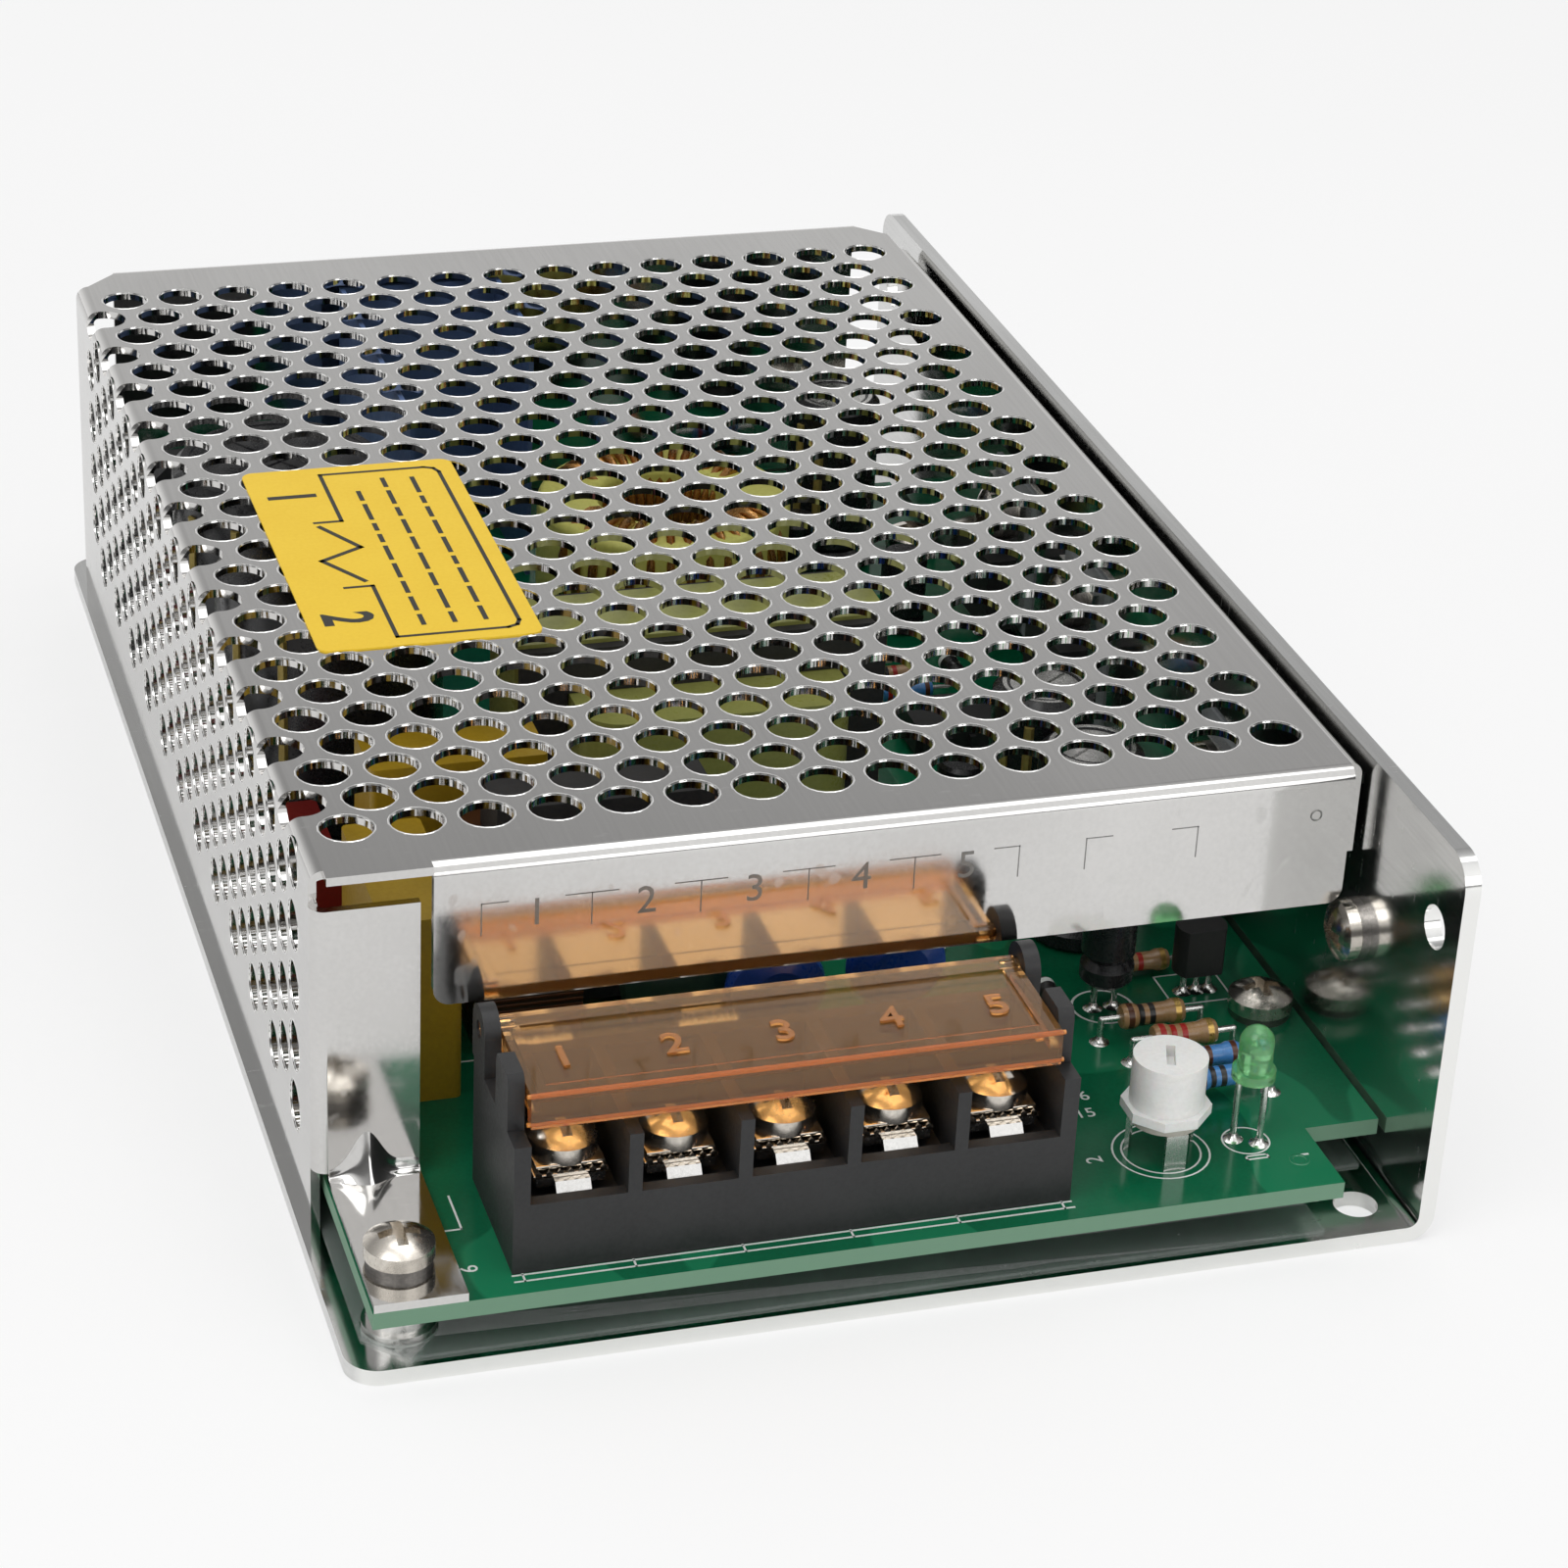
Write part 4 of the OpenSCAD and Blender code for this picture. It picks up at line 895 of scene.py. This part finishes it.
class SUPPLY_OT_board_print(bpy.types.Operator):
    """Prints the outlines and plain numbers on the circuit board"""

    bl_idname = "supply.board_print"
    bl_label = "Board print"

    def execute(self, context):
        sizes = context.scene.supply_sizes
        pen = Pen(high("circuit_board").z, sizes.ink_width, sizes.ink_height)
        # double line with ticks in front of the terminal block
        near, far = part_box("terminal_block")
        line_y = near.y - 1.1 * MM
        for y in (line_y, line_y + 0.9 * MM):
            pen.path([(near.x, y), (far.x, y)])
        for x in way_edges():
            pen.path([(x, line_y), (x, line_y + 1.0 * MM)])
        # rings under the adjuster, the lamp and the small capacitor
        adjuster, lamp = middle("trimmer_knob"), middle("status_lamp")
        can = middle("small_capacitor")
        for spot, radius, bold in ((adjuster, 4.3, 1.0), (adjuster, 3.5, 1.0), (lamp, 2.1, 1.0),
                                   (can, 2.9, 1.4)):
            pen.circle(spot.x, spot.y, radius * MM, bold)
        pen.outline(lamp.x - 1.0 * MM, lamp.y - 2.9 * MM, lamp.x + 1.0 * MM, lamp.y - 2.4 * MM)
        # outlines round larger parts, with their margins in millimetres
        for node, margin in (("small_transistor", 0.6), ("thermistor", 0.6),
                             ("bridge_rectifier", 0.7), ("line_filter_core", 4.2),
                             ("transformer_bobbin", 0.7), ("fuse_tube", 1.6)):
            a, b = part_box(node)
            pen.outline(a.x - margin * MM, a.y - margin * MM, b.x + margin * MM, b.y + margin * MM)
        # bracket in front of the filter capacitor, beside the foot
        box = low("box_capacitors")
        right, back = box.x + 2.6 * MM, box.y - 20 * MM
        pen.path([(box.x - 2.2 * MM, back), (right, back), (right, box.y - 15 * MM)])
        # plain numbers beside the parts: shift and height in millimetres, the larger ones turned
        for text, spot, dx, dy, tall in (
                ("1", lamp, 4.0, -3.2, 1.5), ("2", adjuster, -6.2, 0.0, 1.5),
                ("15", adjuster, -4.4, 7.2, 1.4), ("16", adjuster, -4.0, 9.9, 1.4),
                ("19", adjuster, -3.8, 12.6, 1.4), ("7", can, 5.2, -1.0, 1.5),
                ("3", far, 3.0, -3.0, 1.5), ("6", near, -3.2, 1.6, 1.5)):
            mark = Vector((spot.x + dx * MM, spot.y + dy * MM, pen.level + pen.height / 2))
            turn = QUARTER_TURN if tall > 1.4 else 0
            pen.parts.append(numeral("mark", text, mark, tall * MM, pen.height, (0, 0, turn)))
        finish(joined(pen.parts, "board_print"), "board_ink")
        return {"FINISHED"}


class SUPPLY_OT_solder(bpy.types.Operator):
    """Adds the pads and solder round the legs that pass into the board"""

    bl_idname = "supply.solder"
    bl_label = "Solder"

    def execute(self, context):
        near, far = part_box("circuit_board")
        fillet = [(0.95 * MM, 0.0), (0.78 * MM, 0.08 * MM), (0.5 * MM, 0.28 * MM),
                  (0.36 * MM, 0.6 * MM)]
        cones = [turned("cone", Vector((x, y, far.z)), fillet, 14)
                 for x, y in leg_spots("component_legs") + leg_spots("resistor_leads")]
        finish(joined(cones, "solder_joints"), "tin")
        eyelet = ring("via_ring", Vector((far.x - 9.6 * MM, near.y + 4.2 * MM, far.z)), 0.75 * MM,
                      0.16 * MM, squash=(1, 1, 0.5), sides=20)
        finish(eyelet, "board_green")
        return {"FINISHED"}


def leg_spots(node):
    """Centres of the legs of a CAD node where they meet the board."""
    top = high("circuit_board").z
    foot = sorted({(round(v.co.x, 6), round(v.co.y, 6)) for v in frame["nodes"][node].data.vertices
                   if abs(v.co.z - top) < 0.02 * MM})
    spots = []
    for x, y in foot:
        for spot in spots:
            if math.hypot(spot[0] / spot[2] - x, spot[1] / spot[2] - y) < 0.8 * MM:
                spot[0] += x
                spot[1] += y
                spot[2] += 1
                break
        else:
            spots.append([x, y, 1])
    return [(sx / n, sy / n) for sx, sy, n in spots]


def axial_part(name, centre, length, radius, turn, look, bands):
    """A small body along its turn; each of its bands has a place, a half width and a finish."""
    half = length / 2
    profile = [(radius * 0.4, -half), (radius * 0.85, -half + 0.1 * MM),
               (radius, -half + 0.45 * MM), (radius, -half + 1.2 * MM),
               (radius * 0.84, -half + 1.7 * MM)]
    profile += [(r, -z) for r, z in reversed(profile)]
    cuts = sorted({cut for z, reach, _ in bands for cut in (z - reach, z + reach)})
    body = turned(name, ORIGIN, with_cuts(profile, cuts), 24, (0, QUARTER_TURN, 0))
    body.data.materials.append(FINISHES[look])
    for index, (z, reach, band) in enumerate(bands, 1):
        body.data.materials.append(FINISHES[band])
        for face in body.data.polygons:
            if abs(face.center.x - z) < reach and abs(face.normal.x) < 0.95:
                face.material_index = index
    body.rotation_euler = (0, 0, turn)
    body.location = centre
    return settle(body, name)


def with_cuts(profile, cuts):
    """Adds steps at the given heights to a profile, on its straight runs."""
    full = list(profile)
    for z in cuts:
        for (r0, z0), (r1, z1) in zip(profile, profile[1:]):
            if z0 + 1e-7 < z < z1 - 1e-7:
                full.append((r0 + (r1 - r0) * (z - z0) / (z1 - z0), z))
    return sorted(full, key=lambda step: step[1])


def bands_for(length, looks):
    """Bands of equal width: the last near the right end, the rest in step from the left."""
    step = length * 0.17
    start = -length / 2 + length * 0.13
    places = [start + i * step for i in range(len(looks) - 1)] + [length / 2 - length * 0.13]
    return [(z, length * 0.045, look) for z, look in zip(places, looks)]


class SUPPLY_OT_resistors(bpy.types.Operator):
    """Models the four axial resistors beside the adjuster with their colour bands"""

    bl_idname = "supply.resistors"
    bl_label = "Resistors"

    def execute(self, context):
        brown, black, red, gold = "band_brown", "band_black", "band_red", "band_gold"
        for node, look, codes in (
                ("carbon_resistors", "resistor_tan",
                 ((brown, black, black, gold), (red, red, red, gold))),
                ("film_resistors", "resistor_blue",
                 ((red, black, brown, brown), (brown, black, black, brown)))):
            boxes = sorted(shells(node), key=lambda box: -box[0].y)
            for index, ((near, far), code) in enumerate(zip(boxes, codes), 1):
                length = far.x - near.x
                piece = axial_part(f"{node[:-1]}_{index}", (near + far) / 2, length,
                                   (far.z - near.z) / 2, 0.0, look, bands_for(length, code))
                place(piece, CASE, (node,))
        return {"FINISHED"}


class SUPPLY_OT_small_parts(bpy.types.Operator):
    """Adds small axial parts, links and chip capacitors among the larger ones"""

    bl_idname = "supply.small_parts"
    bl_label = "Small parts"

    def execute(self, context):
        draw = random.Random(7)
        corner = high("circuit_board")
        right, top = corner.x, corner.z
        leads = []

        def wire(start, end, radius, feet):
            """A straight wire with a leg down to the board at each foot."""
            leads.append(rod("lead", start, end, radius, 8))
            for foot in feet:
                leads.append(rod("lead", foot, Vector((foot.x, foot.y, top)), radius, 8))

        # finish, record slot, length in millimetres and band finishes of each kind
        kinds = (
            ("resistor_blue", "resistor_blue", 5.6,
             ("band_red", "band_black", "band_black", "band_brown")),
            ("resistor_tan", "resistor_tan", 5.6,
             ("band_brown", "band_black", "band_red", "band_gold")),
            ("band_black", "epoxy_black", 4.2, None),
        )
        # x from the right edge and y in millimetres, quarter turns and kind of each part
        rows = ((-9.0, -22, 1, 0), (-9.0, -10, 1, 1), (-16.0, 16, 0, 0), (-16.0, 20, 0, 1),
                (-9.5, 20, 1, 2), (-17.0, 66, 0, 0), (-17.0, 70, 0, 2), (-30.0, 62, 1, 0),
                (-26.0, 62, 1, 1), (-22.5, -46, 1, 2), (-24.5, 26, 1, 0), (-12.0, -42, 0, 1))
        for index, (dx, y, quarters, kind) in enumerate(rows, 1):
            look, slot, long, code = kinds[kind]
            turn, length = quarters * QUARTER_TURN, long * MM
            centre = Vector((right + dx * MM, y * MM, top + 1.3 * MM))
            bands = [(length * 0.3, length * 0.08, "board_ink")]
            if code:
                bands = bands_for(length, code)
            place(axial_part(f"board_part_{index}", centre, length, 1.05 * MM, turn, look, bands))
            along = Vector((math.cos(turn), math.sin(turn), 0))
            for side in (-1, 1):
                outer = centre + along * side * (length / 2 + 1.9 * MM)
                wire(centre + along * side * length * 0.48, outer, 0.27 * MM, [outer])
        # bare wire links: x from the right edge, y and span in millimetres, quarter turns
        for x, y, span, quarters in ((-21, -8, 8, 1), (-11.5, 4, 8, 1), (-24, 10, 6, 0),
                                     (-12.5, 42, 8, 0), (-29, -30, 9, 1)):
            turn = quarters * QUARTER_TURN
            centre = Vector((right + x * MM, y * MM, top + 0.6 * MM))
            along = Vector((math.cos(turn), math.sin(turn), 0)) * span / 2 * MM
            ends = [centre - along, centre + along]
            wire(*ends, 0.3 * MM, ends)
        finish(joined(leads, "board_part_leads"), "tin")
        # chip parts
        chips = []
        for index in range(10):
            x = right - draw.uniform(8, 30) * MM
            y = draw.choice((-26, -14, 0, 13, 24, 40, 60)) * MM + draw.uniform(-2, 2) * MM
            size = Vector(draw.choice(((1.6, 0.8, 0.6), (0.8, 1.6, 0.6)))) * MM
            spot = Vector((x, y, top))
            chips.append(block("chip", spot, spot + size, 0.08 * MM))
        finish(joined(chips, "chip_parts"), "chip_cream")
        # small upright capacitors, with a groove round the foot of the sleeve
        profile = [(2.2 * MM, 0), (2.5 * MM, 0.3 * MM), (2.5 * MM, 1.2 * MM), (2.2 * MM, 1.6 * MM),
                   (2.5 * MM, 2.0 * MM), (2.5 * MM, 8.4 * MM), (2.2 * MM, 8.8 * MM)]
        cans = [turned("can", Vector((right + x * MM, y * MM, top + 0.3 * MM)), profile, 28)
                for x, y in ((-20.5, -14), (-11, 33), (-20, 44))]
        finish(joined(cans, "small_cans"), "sleeve_black")
        return {"FINISHED"}


# ---------------------------------------------------------------- terminals

class SUPPLY_OT_clamp_plates(bpy.types.Operator):
    """Models the serrated clamp plates and the split washers under the terminal screws"""

    bl_idname = "supply.clamp_plates"
    bl_label = "Clamp plates"

    def execute(self, context):
        ridges = context.scene.supply_sizes.ridges
        near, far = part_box("terminal_plates")
        centres = way_centres()
        x = centres[0]
        half = (far.x - near.x - (centres[-1] - x)) / 2
        thick = far.z - near.z
        parts = []
        # two stacked plates, the upper one turned up a little at its front edge
        for level, inset in ((0.0, 0.0), (0.55, 0.25 * MM)):
            floor = near.z + thick * level
            plate = block("plate", Vector((x - half + inset, near.y + inset, floor)),
                          Vector((x + half - inset, far.y - inset, floor + thick * 0.42)),
                          0.09 * MM)
            for vertex in plate.data.vertices:
                if level and vertex.co.y < near.y + 1.0 * MM:
                    vertex.co.z += 0.25 * MM
            parts.append(plate)
        # serrations across the front edge
        step = 2 * half / ridges
        z = near.z + thick * 0.45
        for index in range(ridges):
            ridge_x = x - half + step * (index + 0.5)
            parts.append(rod("ridge", Vector((ridge_x, near.y - 0.05 * MM, z)),
                             Vector((ridge_x, near.y + 1.6 * MM, z)), step * 0.36, 6))
        plates = [joined(parts, "clamp_plate_1")]
        washers = [ring("washer", Vector((x, (near.y + far.y) / 2, far.z + 0.1 * MM)), 2.35 * MM,
                        0.42 * MM, squash=(1, 1, 0.8), sides=30)]
        for index, centre in enumerate(centres[1:], 2):
            shift = Vector((centre - x, 0, 0))
            plates.append(copy_at(plates[0], f"clamp_plate_{index}", shift))
            washers.append(copy_at(washers[0], "washer", shift))
        for plate in plates:
            finish(plate, "nickel", CASE, ("terminal_plates",))
        finish(joined(washers, "terminal_washers"), "dark_steel")
        return {"FINISHED"}


class SUPPLY_OT_flip_numbers(bpy.types.Operator):
    """Raises plain numbers on the amber flip cover and lights its front edges"""

    bl_idname = "supply.flip_numbers"
    bl_label = "Flip cover numbers"

    def execute(self, context):
        tall = context.scene.supply_sizes.numeral_height
        near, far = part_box("terminal_cover")
        y = near.y + (far.y - near.y) * 0.42
        field = far.z - 0.35 * MM
        numbers = [numeral("number", str(index), Vector((x, y, field + 0.12 * MM)), tall, 0.2 * MM,
                           weight=0.06 * MM) for index, x in enumerate(way_centres(), 1)]
        finish(joined(numbers, "flip_cover_numbers"), "amber_raised", FLIP)
        # the edges of clear plastic gather light and glow
        inset, pin = 0.3 * MM, 1.1 * MM
        edges = [rod("edge", Vector((near.x + pin, near.y + inset, z)),
                     Vector((far.x - pin, near.y + inset, z)), 0.2 * MM, 8)
                 for z in (near.z + inset, far.z - inset)]
        finish(joined(edges, "flip_cover_edges"), "amber_edge", FLIP)
        return {"FINISHED"}


# ---------------------------------------------------------------- lamp

class SUPPLY_OT_lamp_inside(bpy.types.Operator):
    """Adds the cup and post inside the clear lamp"""

    bl_idname = "supply.lamp_inside"
    bl_label = "Lamp inside"

    def execute(self, context):
        near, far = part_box("status_lamp")
        x, y, z = (near.x + far.x) / 2, (near.y + far.y) / 2, near.z + 0.5 * MM
        profile = [(0.3 * MM, 0), (0.3 * MM, 1.2 * MM), (0.7 * MM, 1.7 * MM), (0.7 * MM, 2.2 * MM)]
        cup = turned("cup", Vector((x + 0.45 * MM, y, z)), profile, 16)
        post = block("post", Vector((x - 0.95 * MM, y - 0.25 * MM, z)),
                     Vector((x - 0.4 * MM, y + 0.25 * MM, near.z + 2.6 * MM)), 0.05 * MM)
        finish(joined([cup, post], "lamp_inside"), "tin")
        return {"FINISHED"}


# ---------------------------------------------------------------- inside

class SUPPLY_OT_choke_turns(bpy.types.Operator):
    """Winds the output choke with separate turns of enamelled wire"""

    bl_idname = "supply.choke_turns"
    bl_label = "Choke turns"

    def execute(self, context):
        sizes = context.scene.supply_sizes
        near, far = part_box("choke_ring")
        centre = (near + far) / 2
        outer = (far.x - near.x) / 2
        bore = outer * 14 / 27
        wire = sizes.choke_wire / 2
        section = (outer - bore) / 2 + wire
        tall = (far.z - near.z) / 2 + wire
        turns = []
        # each half of the winding starts at its own angle and spans 115 degrees
        for start in (25, 205):
            for index in range(sizes.choke_turns):
                angle = math.radians(start + 115 * index / (sizes.choke_turns - 1))
                spot = centre + Vector((math.cos(angle), math.sin(angle), 0)) * ((outer + bore) / 2)
                # a loop lies in the plane that holds the ring's axis and this direction
                turns.append(ring("turn", spot, section, wire, turn=(QUARTER_TURN, 0, angle),
                                  sides=20, wire_sides=6, squash=(1, tall / section, 1)))
        finish(joined(turns, "choke_turns"), "copper_wire", CASE, ("choke_winding",))
        return {"FINISHED"}


class SUPPLY_OT_can_tops(bpy.types.Operator):
    """Adds the scored vent and the printed stripe of each large capacitor"""

    bl_idname = "supply.can_tops"
    bl_label = "Capacitor tops"

    def execute(self, context):
        lids, tops, stripes = [], [], []
        lift = Vector((0, 0, 0.28 * MM))
        for node, group in (("bulk_capacitors", lids), ("output_capacitors", tops)):
            for near, far in shells(node):
                centre = (near + far) / 2
                radius, tall = (far.x - near.x) / 2, far.z - near.z
                top = Vector((centre.x, centre.y, far.z - 0.4 * MM))
                group.append(turned("lid", top, [
                    (radius - 0.9 * MM, 0), (radius - 0.9 * MM, 0.42 * MM),
                    (radius - 1.3 * MM, 0.42 * MM), (radius - 1.4 * MM, 0.3 * MM)], 40))
                for turn in (0.6, 0.6 + math.pi / 2):
                    reach = Vector((math.cos(turn), math.sin(turn), 0)) * (radius - 1.8 * MM)
                    group.append(rod("score", top - reach + lift, top + reach + lift, 0.14 * MM, 6))
                for turn in (3.6, 4.1):
                    side = Vector((math.cos(turn), math.sin(turn), 0)) * (radius + 0.01 * MM)
                    stripes.append(rod("stripe", centre + side - Vector((0, 0, tall * 0.3)),
                                       centre + side + Vector((0, 0, tall * 0.38)), 0.5 * MM, 6))
        for parts, name, look, slot in ((tops, "small_can_vents", "tin", "tin"),
                                        (lids, "can_vents", "sleeve_black", "sleeve_black"),
                                        (stripes, "can_stripes", "sleeve_ink", "sleeve_black")):
            finish(joined(parts, name), look)
        return {"FINISHED"}


# ---------------------------------------------------------------- stage

class SUPPLY_OT_stage(bpy.types.Operator):
    """Sets up the pale floor, the soft lamps, the white surround and the camera"""

    bl_idname = "supply.stage"
    bl_label = "Stage"

    def execute(self, context):
        scene = context.scene
        stage = scene.supply_stage
        aim = Vector((0.010, -0.007, 0.0116))
        self.floor()
        self.surround(scene)
        # place, width, height and share of the main lamp's power
        for name, spot, wide, tall, share in (("main_lamp", (-0.45, -0.35, 0.85), 0.6, 0.6, 1.0),
                                              ("top_lamp", (0.15, 0.10, 1.0), 0.8, 0.6, 0.8),
                                              ("front_lamp", (0.35, -0.85, 0.30), 0.5, 0.4, 0.4)):
            self.lamp(name, Vector(spot), aim, wide, tall, stage.lamp_power * share)
        self.camera(scene, stage, aim)
        scene.view_settings.view_transform = "Standard"
        return {"FINISHED"}

    def floor(self):
        clear_selection()
        bpy.ops.mesh.primitive_plane_add(size=6, location=(0, 0, 0))
        floor = settle(bpy.context.object, "floor")
        material, tree, surface, spot = blank("floor_paint", {"Roughness": 0.6})
        tone = remap(tree, noise(tree, spot, (6, 6, 6)), 0.3, 0.7)
        pale = blend_colour(tree, tone, (0.93, 0.93, 0.93), (0.95, 0.95, 0.95))
        feed(tree, surface, Base_Color=pale)
        # the camera sees a part of the floor as plain white, and the rest keeps the shadow
        camera_ray = tree.nodes.new("ShaderNodeLightPath").outputs["Is Camera Ray"]
        share = math_node(tree, "MULTIPLY", camera_ray, 0.6)
        both = self.mixed(tree, share, surface, add(tree, "Emission"))
        feed(tree, tree.nodes["Material Output"], Surface=both.outputs[0])
        floor.data.materials.append(material)

    def surround(self, scene):
        world = bpy.data.worlds.new("surround")
        scene.world = world
        world.use_nodes = True
        tree = world.node_tree
        tree.nodes.clear()
        rays = tree.nodes.new("ShaderNodeLightPath").outputs
        place_node = tree.nodes.new("ShaderNodeTexCoord")
        split = add(tree, "SeparateXYZ", Vector=place_node.outputs["Generated"])
        behind = self.by_height(tree, split.outputs["Z"],
                                ((0.0, 1.0), (0.25, 0.80), (0.42, 0.52), (0.53, 0.30),
                                 (0.8, 0.55), (1.0, 1.0)))
        ahead = self.by_height(tree, split.outputs["Z"],
                               ((0.0, 0.35), (0.08, 0.12), (0.34, 0.2), (0.55, 1.0), (1.0, 1.0)))
        side = remap(tree, split.outputs["Y"], -0.25, 0.15)
        white = (1.0, 1.0, 1.0)
        # matt surfaces take a soft even light, shiny and clear ones show the room
        soft = add(tree, "Background", Color=white, Strength=0.55)
        seen = add(tree, "Background", Color=blend_colour(tree, side, ahead, behind))
        sharp = math_node(tree, "MAXIMUM", rays["Is Glossy Ray"], rays["Is Transmission Ray"])
        lit = self.mixed(tree, sharp, soft, seen)
        plain = add(tree, "Background", Color=white)
        backdrop = self.mixed(tree, rays["Is Camera Ray"], lit, plain)
        add(tree, "OutputWorld", Surface=backdrop.outputs[0])

    def mixed(self, tree, share, first, second):
        """Two shader nodes mixed; a share of 1 gives the second."""
        node = add(tree, "MixShader", Fac=share)
        put(tree, node.inputs[1], first.outputs[0])
        put(tree, node.inputs[2], second.outputs[0])
        return node

    def by_height(self, tree, height, stops):
        """Brightness of the surround as steps over the height of a direction."""
        ramp = tree.nodes.new("ShaderNodeValToRGB")
        tree.links.new(height, ramp.inputs["Fac"])
        elements = ramp.color_ramp.elements
        for index, (spot, value) in enumerate(stops):
            element = elements[index] if index < 2 else elements.new(spot)
            element.position = spot
            element.color = (value, value, value, 1)
        return ramp.outputs["Color"]

    def lamp(self, name, spot, aim, wide, tall, power):
        clear_selection()
        bpy.ops.object.light_add(type="AREA", location=spot)
        lamp = bpy.context.object
        lamp.name = name
        lamp.data.shape = "RECTANGLE"
        lamp.data.size = wide
        lamp.data.size_y = tall
        lamp.data.energy = power
        lamp.rotation_mode = "QUATERNION"
        lamp.rotation_quaternion = (aim - spot).to_track_quat("-Z", "Y")

    def camera(self, scene, stage, aim):
        flat = math.cos(stage.elevation)
        away = Vector((math.sin(stage.azimuth) * flat, -math.cos(stage.azimuth) * flat,
                       math.sin(stage.elevation)))
        clear_selection()
        bpy.ops.object.camera_add(location=aim + away * stage.distance)
        camera = bpy.context.object
        camera.name = "camera"
        camera.data.lens = stage.lens
        camera.data.sensor_width = 36
        facing = (-away).to_track_quat("-Z", "Y").to_matrix().to_4x4()
        turned_view = facing @ Matrix.Rotation(stage.roll, 4, "Z")
        camera.rotation_mode = "QUATERNION"
        camera.rotation_quaternion = turned_view.to_quaternion()
        camera.data.clip_start = 0.01
        scene.camera = camera


# ---------------------------------------------------------------- panel and run

STEPS = (
    SUPPLY_OT_stage,
    SUPPLY_OT_finishes,
    SUPPLY_OT_hole_rims,
    SUPPLY_OT_foot_crease,
    SUPPLY_OT_label_print,
    SUPPLY_OT_lip_marks,
    SUPPLY_OT_board_print,
    SUPPLY_OT_solder,
    SUPPLY_OT_resistors,
    SUPPLY_OT_small_parts,
    SUPPLY_OT_clamp_plates,
    SUPPLY_OT_flip_numbers,
    SUPPLY_OT_lamp_inside,
    SUPPLY_OT_choke_turns,
    SUPPLY_OT_can_tops,
)


class SUPPLY_PT_panel(bpy.types.Panel):
    """Lists the properties and the steps in the sidebar"""

    bl_idname = "SUPPLY_PT_panel"
    bl_label = "Power supply"
    bl_space_type = "VIEW_3D"
    bl_region_type = "UI"
    bl_category = "Supply"

    def draw(self, context):
        for name in PROPERTIES:
            group = getattr(context.scene, name)
            box = self.layout.box()
            for label in group.__annotations__:
                box.prop(group, label)
        for step in STEPS:
            self.layout.operator(step.bl_idname)


PROPERTIES = {
    "supply_look": SupplyLook, "supply_sizes": SupplySizes, "supply_stage": SupplyStage,
}
CLASSES = (*PROPERTIES.values(), *STEPS, SUPPLY_PT_panel)


def register():
    for kind in CLASSES:
        bpy.utils.register_class(kind)
    for name, kind in PROPERTIES.items():
        setattr(bpy.types.Scene, name, bpy.props.PointerProperty(type=kind))


def unregister():
    for name in PROPERTIES:
        delattr(bpy.types.Scene, name)
    for kind in reversed(CLASSES):
        bpy.utils.unregister_class(kind)


def main():
    register()
    for step in STEPS:
        group, name = step.bl_idname.split(".")
        getattr(getattr(bpy.ops, group), name)()
    clear_selection()


if __name__ == "__main__":
    main()
